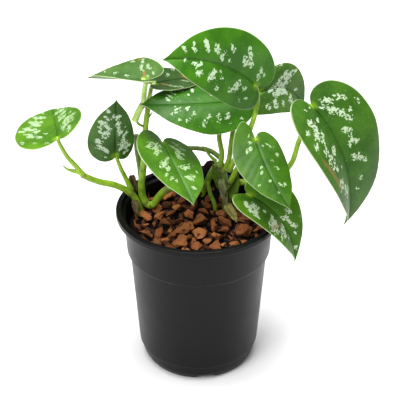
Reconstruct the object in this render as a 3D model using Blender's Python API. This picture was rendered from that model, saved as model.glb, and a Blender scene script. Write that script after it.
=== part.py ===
"""A satin pothos in a round nursery pot: pot, potting mix, bark chips, stems, petioles and leaf blades.

Metres, +Z up. The origin is on the pot's axis at the level it stands on, and the plant leans towards -Y and +-X.
Every blade, petiole and stem is one closed solid. Pieces that meet keep a gap of GAP.
"""

import math
import random

import bmesh
import bpy
import numpy as np
from mathutils import Vector
from mathutils.geometry import interpolate_bezier

MM = 0.001
GAP = 0.35 * MM  # left between pieces that meet

# Pot: driving sizes
POT_HEIGHT = 127.5 * MM
RIM_RADIUS = 60.0 * MM  # outside of the rolled lip
LIP_WIDTH = 4.0 * MM
LIP_DEPTH = 4.6 * MM
COLLAR_TOP_RADIUS = 54.6 * MM
COLLAR_FOOT_RADIUS = 52.8 * MM
COLLAR_FOOT_HEIGHT = 93.9 * MM
BODY_TOP_RADIUS = 50.6 * MM
BODY_FOOT_RADIUS = 45.2 * MM
FOOT_RING_HEIGHT = 13.5 * MM
FOOT_RING_STEP = 1.2 * MM
FOOT_RADIUS = 39.4 * MM
POT_WALL = 1.5 * MM
BASE_HEIGHT = 5.0 * MM  # underside of the base plate
POT_SEGMENTS = 60
NOTCH_COUNT = 5
NOTCH_WIDTH = 12.0 * MM
NOTCH_HEIGHT = 4.4 * MM
NOTCH_START = -82.5  # degrees about +Z, of the first notch
DRAIN_COUNT = 6
DRAIN_RADIUS = 4.0 * MM
DRAIN_RING = 24.0 * MM
DRAIN_START = 33.0  # degrees about +Z, of the first hole

# Potting mix
MIX_LEVEL = 111.5 * MM
MIX_CLEARANCE = 0.5 * MM
MIX_BUMP = 0.7 * MM
MOUND_CENTRE = (9.0 * MM, 43.0 * MM)
MOUND_HEIGHT = 29.0 * MM
MOUND_SPREAD = 10.5 * MM
MIX_RINGS = 9
MIX_SPOKES = 36

# Blades, petioles and stems
BLADE_THICKNESS = 0.9 * MM
BLADE_ROWS = 12
BLADE_COLUMNS = 3
TUBE_SIDES = 8
TUBE_STEP = 7.0 * MM  # between a tube's rings

CHIP_SIZE = 13.0 * MM

COLOURS = {
    "black_plastic": ((0.024, 0.024, 0.024), 0.42),
    "mix": ((0.060, 0.028, 0.014), 0.95),
    "bark": ((0.230, 0.085, 0.035), 0.9),
    "leaf_light": ((0.120, 0.330, 0.030), 0.45),
    "leaf_green": ((0.055, 0.200, 0.035), 0.45),
    "leaf_dark": ((0.035, 0.120, 0.045), 0.45),
    "stem": ((0.240, 0.420, 0.050), 0.5),
    "old_stem": ((0.110, 0.160, 0.035), 0.6),
    "sheath": ((0.330, 0.360, 0.180), 0.7),
    "dry": ((0.300, 0.260, 0.120), 0.8),
}

# Half of a blade's outline, from the notch to the tip: across in half widths, along in lengths.
# Values behind the base (negative) are in lobe depths.
HALF_OUTLINE = [
    (0.0, 0.0),
    (0.10, -0.62),
    (0.36, -1.0),
    (0.68, -0.55),
    (0.93, 0.10),
    (1.0, 0.30),
    (0.90, 0.52),
    (0.64, 0.74),
    (0.28, 0.91),
    (0.08, 0.975),
    (0.0, 1.0),
]

# Blades. base: where the petiole joins, and tip, in mm. face: outward direction of the upper side. width in mm.
# lobe: depth of the basal lobes in lengths. arch, fold, cup, twist in degrees. bow: sideways bend of the midrib in mm.
# skew, lobe_skew: how much wider the right half is, and how much deeper its lobe.
# belly: shift of the widest place towards the tip.
BLADES = {
    "leaf_far_left": dict(base=(-98, -6, 187), tip=(-107, 43, 185), face=(-0.3, 0.0, 0.95), width=51,
                          lobe=0.11, arch=5, fold=10, cup=0, twist=-13, bow=0, skew=-0.15, colour="leaf_light"),
    "leaf_left": dict(base=(-59, 11, 164), tip=(-57, 10, 209), face=(0.26, -0.97, 0.0), width=34,
                      lobe=0.11, arch=30, fold=2, cup=17, twist=7, bow=-1, skew=-0.2, colour="leaf_dark"),
    "leaf_upper_left": dict(base=(-37, 5, 227), tip=(-78, 21, 221), face=(-0.07, 0.18, 0.98), width=41,
                            lobe=0.26, arch=0, fold=18, cup=-4, twist=-15, skew=0.12, belly=-0.03,
                            colour="leaf_green"),
    "leaf_front_left": dict(base=(-25, 3, 179), tip=(-3, -47, 158), face=(0.46, -0.17, 0.87), width=51,
                            lobe=0.16, arch=27, fold=8, cup=14, twist=-9, bow=3, skew=0.06, belly=-0.03, lobe_skew=0.3,
                            colour="leaf_green"),
    "leaf_top": dict(base=(40, 16, 217), tip=(-24, -17, 252), face=(0.55, -0.79, 0.27), width=51,
                     lobe=0.10, arch=23, fold=13, cup=18, twist=-43, bow=7, skew=0.09, colour="leaf_green"),
    "leaf_middle": dict(base=(28, 26, 200), tip=(-40.5, 7, 207), face=(0.14, -0.33, 0.93), width=49,
                        lobe=0.16, arch=15, fold=4, cup=34, twist=-8, bow=-4, colour="leaf_green"),
    "leaf_back_left": dict(base=(-32, 25, 214), tip=(3, 55, 204), face=(0.1, -0.12, 0.98), width=31,
                           lobe=0.12, arch=12, fold=12, cup=10, twist=0, bow=0, colour="leaf_dark"),
    "leaf_back_right": dict(base=(43, 36, 201), tip=(78, 58, 176), face=(0.67, -0.72, 0.18), width=39,
                            lobe=0.12, arch=33, fold=13, cup=15, twist=-8, bow=-10, belly=-0.03,
                            colour="leaf_dark"),
    "leaf_right": dict(base=(79, 8, 205), tip=(106, -7, 116), face=(0.73, -0.61, 0.33), width=74,
                       lobe=0.10, arch=59, fold=32, cup=36, twist=13, bow=-4, belly=-0.04, colour="leaf_green"),
    "leaf_front_right": dict(base=(40, -1, 184), tip=(63, -43, 152), face=(0.34, -0.43, 0.84), width=42,
                             lobe=0.19, arch=19, fold=0, cup=12, twist=-8, bow=4, skew=0.05, belly=-0.06, lobe_skew=0.5,
                             colour="leaf_green"),
    "leaf_low_right": dict(base=(36, -19, 149), tip=(69, -33, 101), face=(0.62, -0.52, 0.59), width=43,
                           lobe=0.12, arch=40, fold=19, cup=16, twist=17, bow=-7, belly=-0.04, colour="leaf_green"),
}

# Petioles: the blade each one carries, its route below the blade in mm, and its radii at the two ends in mm.
PETIOLES = {
    "petiole_far_left": ("leaf_far_left", [(-83, 0, 155), (-87, -1, 162), (-92, -3, 170), (-96, -5, 180)], 2.0, 1.3),
    "petiole_left": ("leaf_left", [(-50, 14, 135), (-53, 14, 143), (-56, 13, 151)], 2.0, 1.2),
    "petiole_upper_left": ("leaf_upper_left", [(-38.5, 15, 205.5), (-38, 13.5, 212), (-37, 10, 219)], 2.1, 1.6),
    "petiole_front_left": ("leaf_front_left", [(-38, 18, 164), (-36, 14, 170), (-31, 8, 176)], 1.8, 1.3),
    "petiole_top": ("leaf_top", [(23, 16, 150), (30, 15, 167), (38, 18, 185), (42, 23, 203)], 2.2, 1.5),
    "petiole_middle": ("leaf_middle", [(16, 21, 151), (17, 22, 159), (15, 25, 173), (19, 29, 185)], 2.0, 1.5),
    "petiole_back_left": ("leaf_back_left", [(-35.5, 19.3, 199), (-35, 18.8, 204), (-34, 19.5, 209)], 1.8, 1.4),
    "petiole_back_right": ("leaf_back_right", [(19, 22, 146), (22, 21, 154), (25, 27, 175), (31, 36, 187)], 2.0, 1.3),
    "petiole_right": ("leaf_right", [(27, 18, 137), (43, 17, 139), (57, 17, 143), (67, 17, 153), (72, 18, 171),
                                     (77, 17, 190)], 2.4, 1.6),
    "petiole_front_right": ("leaf_front_right", [(24, 12, 143), (29, 9, 157), (35, 4, 173)], 2.0, 1.4),
    "petiole_low_right": ("leaf_low_right", [(26, 12, 128), (30, 4, 134), (34, -8, 141)], 2.0, 1.4),
}

# Stems: route in mm, radii at the two ends in mm, colour.
STEMS = {
    "stem_left_vine": ([(-41, 14, 102), (-43, 14, 114), (-45, 14, 122), (-48, 14, 128), (-52, 13, 133),
                        (-62, 10, 140), (-72, 6, 145), (-83, 0, 154)], 2.7, 2.3, "stem"),
    "growing_tip": ([(-85, -1, 157), (-89, -1, 158), (-93, -2, 160), (-96, -2, 163)], 1.4, 0.6, "stem"),
    "stem_upright": ([(-35, 16, 119), (-38, 17, 119), (-41, 18, 124), (-42, 18, 136), (-41, 19, 144), (-40, 19, 152),
                      (-39, 20, 163), (-38, 20, 181), (-36.5, 19.5, 193)], 2.9, 1.8, "stem"),
    "stem_runner": ([(-33, 16, 120), (-30, 16, 125), (-25, 16, 131), (-20, 16, 134)], 2.8, 2.6, "stem"),
    "stem_old": ([(-40, 24, 102), (-42, 25, 126), (-43, 25, 143), (-45, 25, 162), (-45, 25, 173)], 2.2, 1.8,
                 "old_stem"),
    "stem_cut_stub": ([(-39.3, 14.3, 203.5), (-42, 14, 198), (-45, 13, 191)], 2.4, 2.4, "stem"),
    "crown_stem": ([(21, 19, 100), (21, 19, 118), (20, 20, 130), (18, 23, 141), (17, 26, 148)], 3.6, 3.0, "sheath"),
    "stem_front_runner": ([(3, 35, 104), (4, 34, 120), (8, 32, 133), (12, 31, 142), (16, 29, 147)], 2.6, 2.4, "stem"),
    "stem_side_root": ([(12, 18, 104), (12, 18, 118), (9, 22, 124), (7, 27, 129)], 1.7, 1.5, "old_stem"),
    "shoot_spike": ([(13, 30, 148), (8, 31, 153), (3, 32, 160)], 1.6, 0.5, "stem"),
    "stem_back_runner": ([(17, 33, 152), (9, 35, 154), (1, 37, 155), (-10, 38, 155)], 1.9, 1.6, "old_stem"),
}

# Dry sheaths and leaf remains: base and tip in mm, facing, width in mm.
SCALES = {
    "sheath_pale": dict(base=(17, 15, 141), tip=(21, 13, 117), face=(-0.1, -1.0, 0.2), width=8, arch=12, fold=25,
                        lobe=0.05, colour="sheath"),
    "sheath_dry_left": dict(base=(-49, 21, 141), tip=(-47, 20, 124), face=(0.1, -1.0, 0.3), width=6, arch=10,
                            fold=25, lobe=0.05, colour="dry"),
    "sheath_pointed_left": dict(base=(-47, 9, 127), tip=(-45, 1, 119), face=(0.1, -0.8, 0.6), width=5, arch=15,
                                fold=20, lobe=0.05, colour="old_stem"),
    "leaf_dry_remains": dict(base=(21, 7, 124), tip=(28, -8, 119), face=(0.0, -0.3, 1.0), width=10, arch=8,
                             fold=15, lobe=0.05, colour="dry"),
}

ROOTED = ["stem_left_vine", "stem_old", "crown_stem", "stem_front_runner", "stem_side_root"]


def clear_scene():
    for obj in list(bpy.data.objects):
        bpy.data.objects.remove(obj, do_unlink=True)


def material(name):
    colour, roughness = COLOURS[name]
    mat = bpy.data.materials.new(name)
    mat.use_nodes = True
    shader = mat.node_tree.nodes["Principled BSDF"]
    shader.inputs["Base Color"].default_value = (*colour, 1.0)
    shader.inputs["Roughness"].default_value = roughness
    shader.inputs["Metallic"].default_value = 0.0
    return mat


def add_object(name, bm, mat, smooth_angle=50.0):
    bmesh.ops.recalc_face_normals(bm, faces=bm.faces)
    mesh = bpy.data.meshes.new(name)
    bm.to_mesh(mesh)
    bm.free()
    mesh.shade_smooth()
    mesh.set_sharp_from_angle(angle=math.radians(smooth_angle))
    obj = bpy.data.objects.new(name, mesh)
    bpy.context.scene.collection.objects.link(obj)
    obj.data.materials.append(material(mat))
    return obj


def as_cutter(obj):
    obj.hide_render = True
    obj.display_type = "WIRE"
    return obj


def cut(obj, cutter):
    mod = obj.modifiers.new(f"cut_{cutter.name}", "BOOLEAN")
    mod.operation = "DIFFERENCE"
    mod.solver = "EXACT"
    mod.object = cutter


def smooth_curve(points, count):
    """Points evenly spread along a smooth curve through the given points (centripetal Catmull-Rom)."""
    pts = np.asarray(points, float)
    knots = np.concatenate([[0.0], np.cumsum(np.linalg.norm(np.diff(pts, axis=0), axis=1) ** 0.5)])
    spans = np.diff(knots)
    slopes = np.diff(pts, axis=0) / spans[:, None]
    tangents = np.empty_like(pts)
    weights = spans[1:] + spans[:-1]
    tangents[1:-1] = (slopes[:-1] * spans[1:, None] + slopes[1:] * spans[:-1, None]) / weights[:, None]
    tangents[0] = 1.5 * slopes[0] - 0.5 * tangents[1]
    tangents[-1] = 1.5 * slopes[-1] - 0.5 * tangents[-2]
    curve = []
    for i, span in enumerate(spans):
        start, end = Vector(pts[i]), Vector(pts[i + 1])
        handle_a = start + Vector(tangents[i]) * (span / 3)
        handle_b = end - Vector(tangents[i + 1]) * (span / 3)
        piece = interpolate_bezier(start, handle_a, handle_b, end, 17)
        curve.extend(piece if i == 0 else piece[1:])
    curve = np.array(curve)
    along = np.concatenate([[0.0], np.cumsum(np.linalg.norm(np.diff(curve, axis=0), axis=1))])
    wanted = np.linspace(0.0, along[-1], count)
    return np.stack([np.interp(wanted, along, curve[:, k]) for k in range(curve.shape[1])], axis=1)


def lathe(profile, segments):
    """Turns a closed profile of (radius, height) about Z. Points on the axis become single vertices."""
    bm = bmesh.new()
    rings = []
    for radius, height in profile:
        if radius < 1e-6:
            rings.append([bm.verts.new((0.0, 0.0, height))] * segments)
            continue
        ring = []
        for k in range(segments):
            angle = 2 * math.pi * k / segments
            ring.append(bm.verts.new((radius * math.cos(angle), radius * math.sin(angle), height)))
        rings.append(ring)
    for lower, upper in zip(rings, rings[1:]):
        for k in range(segments):
            n = (k + 1) % segments
            corners = list(dict.fromkeys([lower[k], lower[n], upper[n], upper[k]]))
            if len(corners) > 2:
                bm.faces.new(corners)
    return bm


def pot_profile():
    """Down the outside from the inner edge of the lip, across the underside, and up the inside."""
    lip_inside = RIM_RADIUS - LIP_WIDTH
    ledge = COLLAR_FOOT_HEIGHT
    outside = [
        (lip_inside, POT_HEIGHT - 0.4 * MM),
        (lip_inside + 0.6 * MM, POT_HEIGHT),
        (RIM_RADIUS - 0.7 * MM, POT_HEIGHT),
        (RIM_RADIUS, POT_HEIGHT - 0.8 * MM),
        (RIM_RADIUS, POT_HEIGHT - LIP_DEPTH),
        (COLLAR_TOP_RADIUS + 1.0 * MM, POT_HEIGHT - LIP_DEPTH - 0.5 * MM),
        (COLLAR_TOP_RADIUS, POT_HEIGHT - LIP_DEPTH - 1.6 * MM),
        (COLLAR_FOOT_RADIUS, ledge + 1.0 * MM),
        (COLLAR_FOOT_RADIUS - 0.6 * MM, ledge - 0.4 * MM),
        (BODY_TOP_RADIUS, ledge - 1.8 * MM),
        (BODY_FOOT_RADIUS, FOOT_RING_HEIGHT),
        (BODY_FOOT_RADIUS - FOOT_RING_STEP, FOOT_RING_HEIGHT - 0.8 * MM),
        (FOOT_RADIUS + 3.3 * MM, 4.5 * MM),
        (FOOT_RADIUS + 2.4 * MM, 1.5 * MM),
        (FOOT_RADIUS + 0.6 * MM, 0.0),
    ]
    underside = [
        (FOOT_RADIUS - 1.1 * MM, 0.0),
        (FOOT_RADIUS + 1.6 * MM, BASE_HEIGHT),
        (0.0, BASE_HEIGHT),
    ]
    inside = [
        (0.0, BASE_HEIGHT + POT_WALL),
        (FOOT_RADIUS, BASE_HEIGHT + POT_WALL),
        (BODY_FOOT_RADIUS - FOOT_RING_STEP - POT_WALL, FOOT_RING_HEIGHT - 1.0 * MM),
        (BODY_FOOT_RADIUS - POT_WALL, FOOT_RING_HEIGHT + 1.0 * MM),
        (BODY_TOP_RADIUS - POT_WALL, ledge - 2.2 * MM),
        (COLLAR_FOOT_RADIUS - POT_WALL, ledge + 0.6 * MM),
        (COLLAR_TOP_RADIUS - POT_WALL, POT_HEIGHT - LIP_DEPTH),
        (lip_inside, POT_HEIGHT - LIP_DEPTH + 1.6 * MM),
    ]
    return outside + underside + inside + outside[:1]


def cylinder_cutter(name, radius, depth, location, sides=16):
    bm = bmesh.new()
    bmesh.ops.create_cone(bm, cap_ends=True, segments=sides, radius1=radius, radius2=radius, depth=depth)
    obj = add_object(name, bm, "mix")
    obj.location = location
    return as_cutter(obj)


def box_cutter(name, size, location, angle):
    bm = bmesh.new()
    bmesh.ops.create_cube(bm, size=1.0)
    bmesh.ops.scale(bm, vec=size, verts=bm.verts)
    obj = add_object(name, bm, "mix")
    obj.location = location
    obj.rotation_euler = (0.0, 0.0, angle)
    return as_cutter(obj)


def build_pot():
    bm = lathe(pot_profile(), POT_SEGMENTS)
    bmesh.ops.remove_doubles(bm, verts=bm.verts, dist=1e-7)
    pot = add_object("pot", bm, "black_plastic", smooth_angle=40.0)
    for k in range(NOTCH_COUNT):
        angle = math.radians(NOTCH_START) + 2 * math.pi * k / NOTCH_COUNT
        centre = (FOOT_RADIUS * math.cos(angle), FOOT_RADIUS * math.sin(angle), 0.0)
        size = (8.0 * MM, NOTCH_WIDTH, 2 * NOTCH_HEIGHT)
        cut(pot, box_cutter(f"notch_cutter_{k}", size, centre, angle))
    for k in range(DRAIN_COUNT):
        angle = math.radians(DRAIN_START) + 2 * math.pi * k / DRAIN_COUNT
        centre = (DRAIN_RING * math.cos(angle), DRAIN_RING * math.sin(angle), BASE_HEIGHT + POT_WALL / 2)
        cut(pot, cylinder_cutter(f"drain_cutter_{k}", DRAIN_RADIUS, 4 * POT_WALL, centre))


def mix_height(x, y):
    """Level of the mix: gentle bumps, and a mound round the plant's crown at the back."""
    bumps = math.sin(x / (5.1 * MM)) * math.cos(y / (4.3 * MM))
    away = math.hypot(x - MOUND_CENTRE[0], y - MOUND_CENTRE[1]) / MOUND_SPREAD
    return MIX_LEVEL + MIX_BUMP * bumps + MOUND_HEIGHT * math.exp(-away ** 3)


def build_mix(roots):
    """One plug that fills the pot to MIX_LEVEL, with a socket round each rooted stem."""
    top_radius = COLLAR_FOOT_RADIUS - POT_WALL - MIX_CLEARANCE
    side = [
        (FOOT_RADIUS - MIX_CLEARANCE, BASE_HEIGHT + POT_WALL + MIX_CLEARANCE),
        (BODY_FOOT_RADIUS - FOOT_RING_STEP - POT_WALL - MIX_CLEARANCE, FOOT_RING_HEIGHT - 1.0 * MM),
        (BODY_TOP_RADIUS - POT_WALL - MIX_CLEARANCE, COLLAR_FOOT_HEIGHT - 3.0 * MM),
        (top_radius, COLLAR_FOOT_HEIGHT + 1.5 * MM),
    ]
    bm = bmesh.new()
    rings = []
    for radius, height in side:
        rings.append([(radius, height)] * MIX_SPOKES)
    for k in range(MIX_RINGS):
        rings.append([(top_radius * (MIX_RINGS - k) / MIX_RINGS, None)] * MIX_SPOKES)
    loops = []
    for ring in rings:
        loop = []
        for k, (radius, height) in enumerate(ring):
            angle = 2 * math.pi * k / MIX_SPOKES
            x, y = radius * math.cos(angle), radius * math.sin(angle)
            loop.append(bm.verts.new((x, y, mix_height(x, y) if height is None else height)))
        loops.append(loop)
    for lower, upper in zip(loops, loops[1:]):
        for k in range(MIX_SPOKES):
            n = (k + 1) % MIX_SPOKES
            bm.faces.new((lower[k], lower[n], upper[n], upper[k]))
    bottom = bm.verts.new((0.0, 0.0, side[0][1]))
    middle = bm.verts.new((0.0, 0.0, mix_height(0.0, 0.0)))
    for k in range(MIX_SPOKES):
        n = (k + 1) % MIX_SPOKES
        bm.faces.new((bottom, loops[0][n], loops[0][k]))
        bm.faces.new((middle, loops[-1][k], loops[-1][n]))
    mix = add_object("potting_mix", bm, "mix")
    for root in roots:
        cut(mix, root)


def tube_rings(route, radius_a, radius_b, sides):
    """Rings of points round a route, with frames carried along it so that they don't twist."""
    length = float(np.linalg.norm(np.diff(np.asarray(route), axis=0), axis=1).sum())
    count = max(4, round(length / TUBE_STEP) + 1)
    centres = smooth_curve(route, count)
    directions = np.gradient(centres, axis=0)
    side = Vector((0.31, 0.92, 0.23))
    rings = []
    for k in range(count):
        forward = Vector(directions[k]).normalized()
        side = (side - forward * side.dot(forward)).normalized()
        other = forward.cross(side)
        radius = radius_a + (radius_b - radius_a) * k / (count - 1)
        ring = []
        for s in range(sides):
            angle = 2 * math.pi * s / sides
            ring.append(Vector(centres[k]) + radius * (math.cos(angle) * side + math.sin(angle) * other))
        rings.append(ring)
    return rings


def tube_mesh(route, radius_a, radius_b, sides=TUBE_SIDES):
    bm = bmesh.new()
    loops = []
    for ring in tube_rings(route, radius_a, radius_b, sides):
        loops.append([bm.verts.new(point) for point in ring])
    for lower, upper in zip(loops, loops[1:]):
        for k in range(sides):
            n = (k + 1) % sides
            bm.faces.new((lower[k], lower[n], upper[n], upper[k]))
    bm.faces.new(loops[0][::-1])
    bm.faces.new(loops[-1])
    return bm


def in_metres(points):
    return [tuple(value * MM for value in point) for point in points]


def half_outline(lobe, belly):
    """Outline of half a blade, notch to tip: half widths across, lengths along."""
    points = []
    for across, along in HALF_OUTLINE:
        if along < 0:
            along = along * lobe
        else:
            along = along + belly * 4 * along * (1 - along)
        points.append((across, along, 0.0))
    return smooth_curve(points, BLADE_ROWS + 1)[:, :2]


def midrib_curve(arch):
    """Height, distance and slope along a midrib that arches by an angle, with its ends on one level."""
    along = np.linspace(-0.35, 1.0, 136)
    step = along[1] - along[0]
    slope = math.radians(arch) * (0.5 - np.clip(along, 0.0, 1.0))
    reach = np.cumsum(np.cos(slope)) * step
    rise = np.cumsum(np.sin(slope)) * step
    start = int(np.argmin(np.abs(along)))
    reach -= reach[start]
    rise -= rise[start]
    tilt = math.atan2(rise[-1], reach[-1])
    chord = math.hypot(rise[-1], reach[-1])
    level_reach = (reach * math.cos(tilt) + rise * math.sin(tilt)) / chord
    level_rise = (rise * math.cos(tilt) - reach * math.sin(tilt)) / chord
    return along, level_reach, level_rise, slope - tilt


def blade_axes(blade):
    """Base, unit vectors across, along and out of the face, and the length from base to tip."""
    base = Vector(blade["base"]) * MM
    tip = Vector(blade["tip"]) * MM
    along = (tip - base).normalized()
    face = Vector(blade["face"])
    out = (face - along * face.dot(along)).normalized()
    return base, along.cross(out), along, out, (tip - base).length


def blade_point(blade, curve, axes, side, across, along):
    """A point of the blade's middle surface. across is in half widths, along in lengths."""
    base, axis_x, axis_y, axis_z, length = axes
    half_width = blade["width"] * MM / 2 * (1 + side * blade.get("skew", 0.0))
    fold = math.radians(blade["fold"])
    cup = math.radians(blade.get("cup", 0.0))
    twist = math.radians(blade.get("twist", 0.0)) * (along - 0.5)
    angle = fold - cup * across / 2
    x = side * across * half_width * math.cos(angle)
    z = across * half_width * math.sin(angle)
    x, z = x * math.cos(twist) - z * math.sin(twist), x * math.sin(twist) + z * math.cos(twist)
    x += blade.get("bow", 0.0) * MM * 4 * along * (1 - along)
    samples, reach, rise, slope = curve
    tilt = float(np.interp(along, samples, slope))
    y = float(np.interp(along, samples, reach)) * length - z * math.sin(tilt)
    z = float(np.interp(along, samples, rise)) * length + z * math.cos(tilt)
    return base + axis_x * x + axis_y * y + axis_z * z


def blade_grid(blade):
    """Rows from notch to tip. Each row runs from the left margin over the midrib to the right margin."""
    curve = midrib_curve(blade["arch"])
    axes = blade_axes(blade)
    outlines = {}
    for side in (-1, 1):
        lobe = blade["lobe"] * (1 + side * blade.get("lobe_skew", 0.0))
        outlines[side] = half_outline(lobe, blade.get("belly", 0.0))
    rows = []
    for k in range(1, BLADE_ROWS):
        rib = (k / BLADE_ROWS) ** 1.25
        row = []
        for column in range(-BLADE_COLUMNS, BLADE_COLUMNS + 1):
            part = abs(column) / BLADE_COLUMNS
            side = -1 if column < 0 else 1
            edge_across, edge_along = outlines[side][k]
            along = rib + (edge_along - rib) * part
            row.append(blade_point(blade, curve, axes, side, edge_across * part, along))
        rows.append(row)
    base = blade_point(blade, curve, axes, 1, 0.0, 0.0)
    tip = blade_point(blade, curve, axes, 1, 0.0, 1.0)
    return base, rows, tip


def row_normals(rows, base, tip):
    """Outward direction at each point of the grid, from its neighbours."""
    columns = len(rows[0])
    result = []
    for r in range(len(rows)):
        line = []
        for c in range(columns):
            before = rows[r - 1][c] if r > 0 else base
            after = rows[r + 1][c] if r < len(rows) - 1 else tip
            left = rows[r][max(c - 1, 0)]
            right = rows[r][min(c + 1, columns - 1)]
            line.append((right - left).cross(after - before).normalized())
        result.append(line)
    return result


def blade_mesh(blade):
    """A lens-shaped solid: upper and lower skins that meet at the margin."""
    base, rows, tip = blade_grid(blade)
    normals = row_normals(rows, base, tip)
    bm = bmesh.new()
    first = bm.verts.new(base)
    last = bm.verts.new(tip)
    upper, lower = [], []
    end = len(rows[0]) - 1
    for row, normal in zip(rows, normals):
        margin = {0: bm.verts.new(row[0]), end: bm.verts.new(row[end])}
        for skin, lift in ((upper, 0.5), (lower, -0.5)):
            line = []
            for c, (point, out) in enumerate(zip(row, normal)):
                offset = out * (BLADE_THICKNESS * lift)
                line.append(margin[c] if c in margin else bm.verts.new(point + offset))
            skin.append(line)
    for skin in (upper, lower):
        for here, there in zip(skin, skin[1:]):
            for c in range(end):
                bm.faces.new((here[c], here[c + 1], there[c + 1], there[c]))
        for c in range(end):
            bm.faces.new((first, skin[0][c + 1], skin[0][c]))
            bm.faces.new((last, skin[-1][c], skin[-1][c + 1]))
    bmesh.ops.triangulate(bm, faces=bm.faces)
    return bm


def build_blades():
    for name, blade in {**BLADES, **SCALES}.items():
        add_object(name, blade_mesh(blade), blade["colour"])


def petiole_route(name):
    """The petiole's route with its last point just under the blade's base."""
    leaf, route, _, end_radius = PETIOLES[name]
    base, _, _, out, _ = blade_axes(BLADES[leaf])
    stand_off = BLADE_THICKNESS + GAP + end_radius * MM
    return in_metres(route) + [tuple(base - out * stand_off)]


def tube_specs():
    specs = {}
    for name, (route, radius_a, radius_b, colour) in STEMS.items():
        specs[name] = (in_metres(route), radius_a * MM, radius_b * MM, colour)
    for name, (_, _, radius_a, radius_b) in PETIOLES.items():
        specs[name] = (petiole_route(name), radius_a * MM, radius_b * MM, "stem")
    return specs


# Tubes that meet: the second is cut back to leave GAP round the first.
MEETINGS = [
    ("stem_left_vine", "petiole_far_left"),
    ("stem_left_vine", "growing_tip"),
    ("stem_left_vine", "petiole_left"),
    ("stem_left_vine", "stem_old"),
    ("petiole_far_left", "growing_tip"),
    ("stem_upright", "stem_runner"),
    ("stem_upright", "petiole_upper_left"),
    ("stem_upright", "petiole_front_left"),
    ("stem_upright", "stem_cut_stub"),
    ("petiole_upper_left", "stem_cut_stub"),
    ("stem_upright", "stem_old"),
    ("crown_stem", "petiole_middle"),
    ("crown_stem", "petiole_top"),
    ("crown_stem", "petiole_back_right"),
    ("crown_stem", "petiole_right"),
    ("crown_stem", "petiole_front_right"),
    ("crown_stem", "petiole_low_right"),
    ("crown_stem", "stem_front_runner"),
    ("crown_stem", "stem_back_runner"),
    ("stem_front_runner", "stem_side_root"),
    ("stem_front_runner", "shoot_spike"),
    ("stem_front_runner", "stem_back_runner"),
    ("stem_upright", "petiole_back_left"),
    ("petiole_upper_left", "petiole_back_left"),
    ("stem_cut_stub", "petiole_back_left"),
]


def build_tubes():
    """Stems and petioles, each cut back where it meets another. Returns the sockets of the rooted stems."""
    specs = tube_specs()
    pieces = {}
    sleeves = {}
    for name, (route, radius_a, radius_b, colour) in specs.items():
        pieces[name] = add_object(name, tube_mesh(route, radius_a, radius_b), colour)
    for owner in sorted({first for first, _ in MEETINGS} | set(ROOTED)):
        route, radius_a, radius_b, _ = specs[owner]
        bm = tube_mesh(route, radius_a + GAP, radius_b + GAP)
        sleeves[owner] = as_cutter(add_object(f"{owner}_sleeve", bm, "mix"))
    for owner, other in MEETINGS:
        cut(pieces[other], sleeves[owner])
    return [sleeves[name] for name in ROOTED]


def chip_mesh(rng, size):
    """A broken chip: the hull of points scattered on a flattened ball."""
    bm = bmesh.new()
    for _ in range(11):
        direction = Vector((rng.gauss(0, 1), rng.gauss(0, 1), rng.gauss(0, 1))).normalized()
        bm.verts.new(Vector((direction.x * 0.5, direction.y * 0.40, direction.z * 0.27)) * size)
    hull = bmesh.ops.convex_hull(bm, input=bm.verts)
    inner = [v for v in hull["geom_interior"] if isinstance(v, bmesh.types.BMVert)]
    bmesh.ops.delete(bm, geom=inner, context="VERTS")
    return bm


# Centres of the larger chips that lie on the mix, in mm, and their sizes compared with CHIP_SIZE.
CHIPS = [
    (-24, -39, 1.1), (-9, -43, 1.0), (6, -44, 1.15), (21, -39, 1.1), (33, -28, 1.2),
    (-35, -26, 1.1), (-18, -25, 1.2), (-1, -28, 1.2), (15, -24, 1.1), (42, -12, 1.0),
    (-43, -10, 1.0), (-28, -9, 1.2), (-11, -9, 1.2), (6, -8, 1.2), (38, 6, 1.0),
    (-23, 6, 1.1), (-5, 8, 1.2), (-12, 26, 1.0), (-24, 33, 1.1), (-13, 44, 1.0),
]


def build_chips():
    for k, (x, y, scale) in enumerate(CHIPS):
        rng = random.Random(40 + k)
        bm = chip_mesh(rng, CHIP_SIZE * scale)
        turn = rng.uniform(0.0, math.pi)
        for v in bm.verts:
            px, py = v.co.x, v.co.y
            v.co.x = px * math.cos(turn) - py * math.sin(turn)
            v.co.y = px * math.sin(turn) + py * math.cos(turn)
        lift = max(mix_height(x * MM + v.co.x, y * MM + v.co.y) - v.co.z for v in bm.verts)
        bmesh.ops.translate(bm, verts=bm.verts, vec=(x * MM, y * MM, lift + 2 * GAP))
        add_object(f"bark_chip_{k + 1:02d}", bm, "bark", smooth_angle=20.0)


def main():
    clear_scene()
    build_pot()
    build_blades()
    roots = build_tubes()
    build_mix(roots)
    build_chips()


main()
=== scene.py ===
"""Finish of a potted satin pothos: fine blades with silver splashes, stems, moulded pot and bark chips.

Every piece stands in the frame's own coordinates, in metres. The plant's sizes are given in millimetres.
"""

import math
import random

import bmesh
import bpy
import numpy as np
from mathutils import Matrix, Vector, noise
from mathutils.geometry import interpolate_bezier


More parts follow.
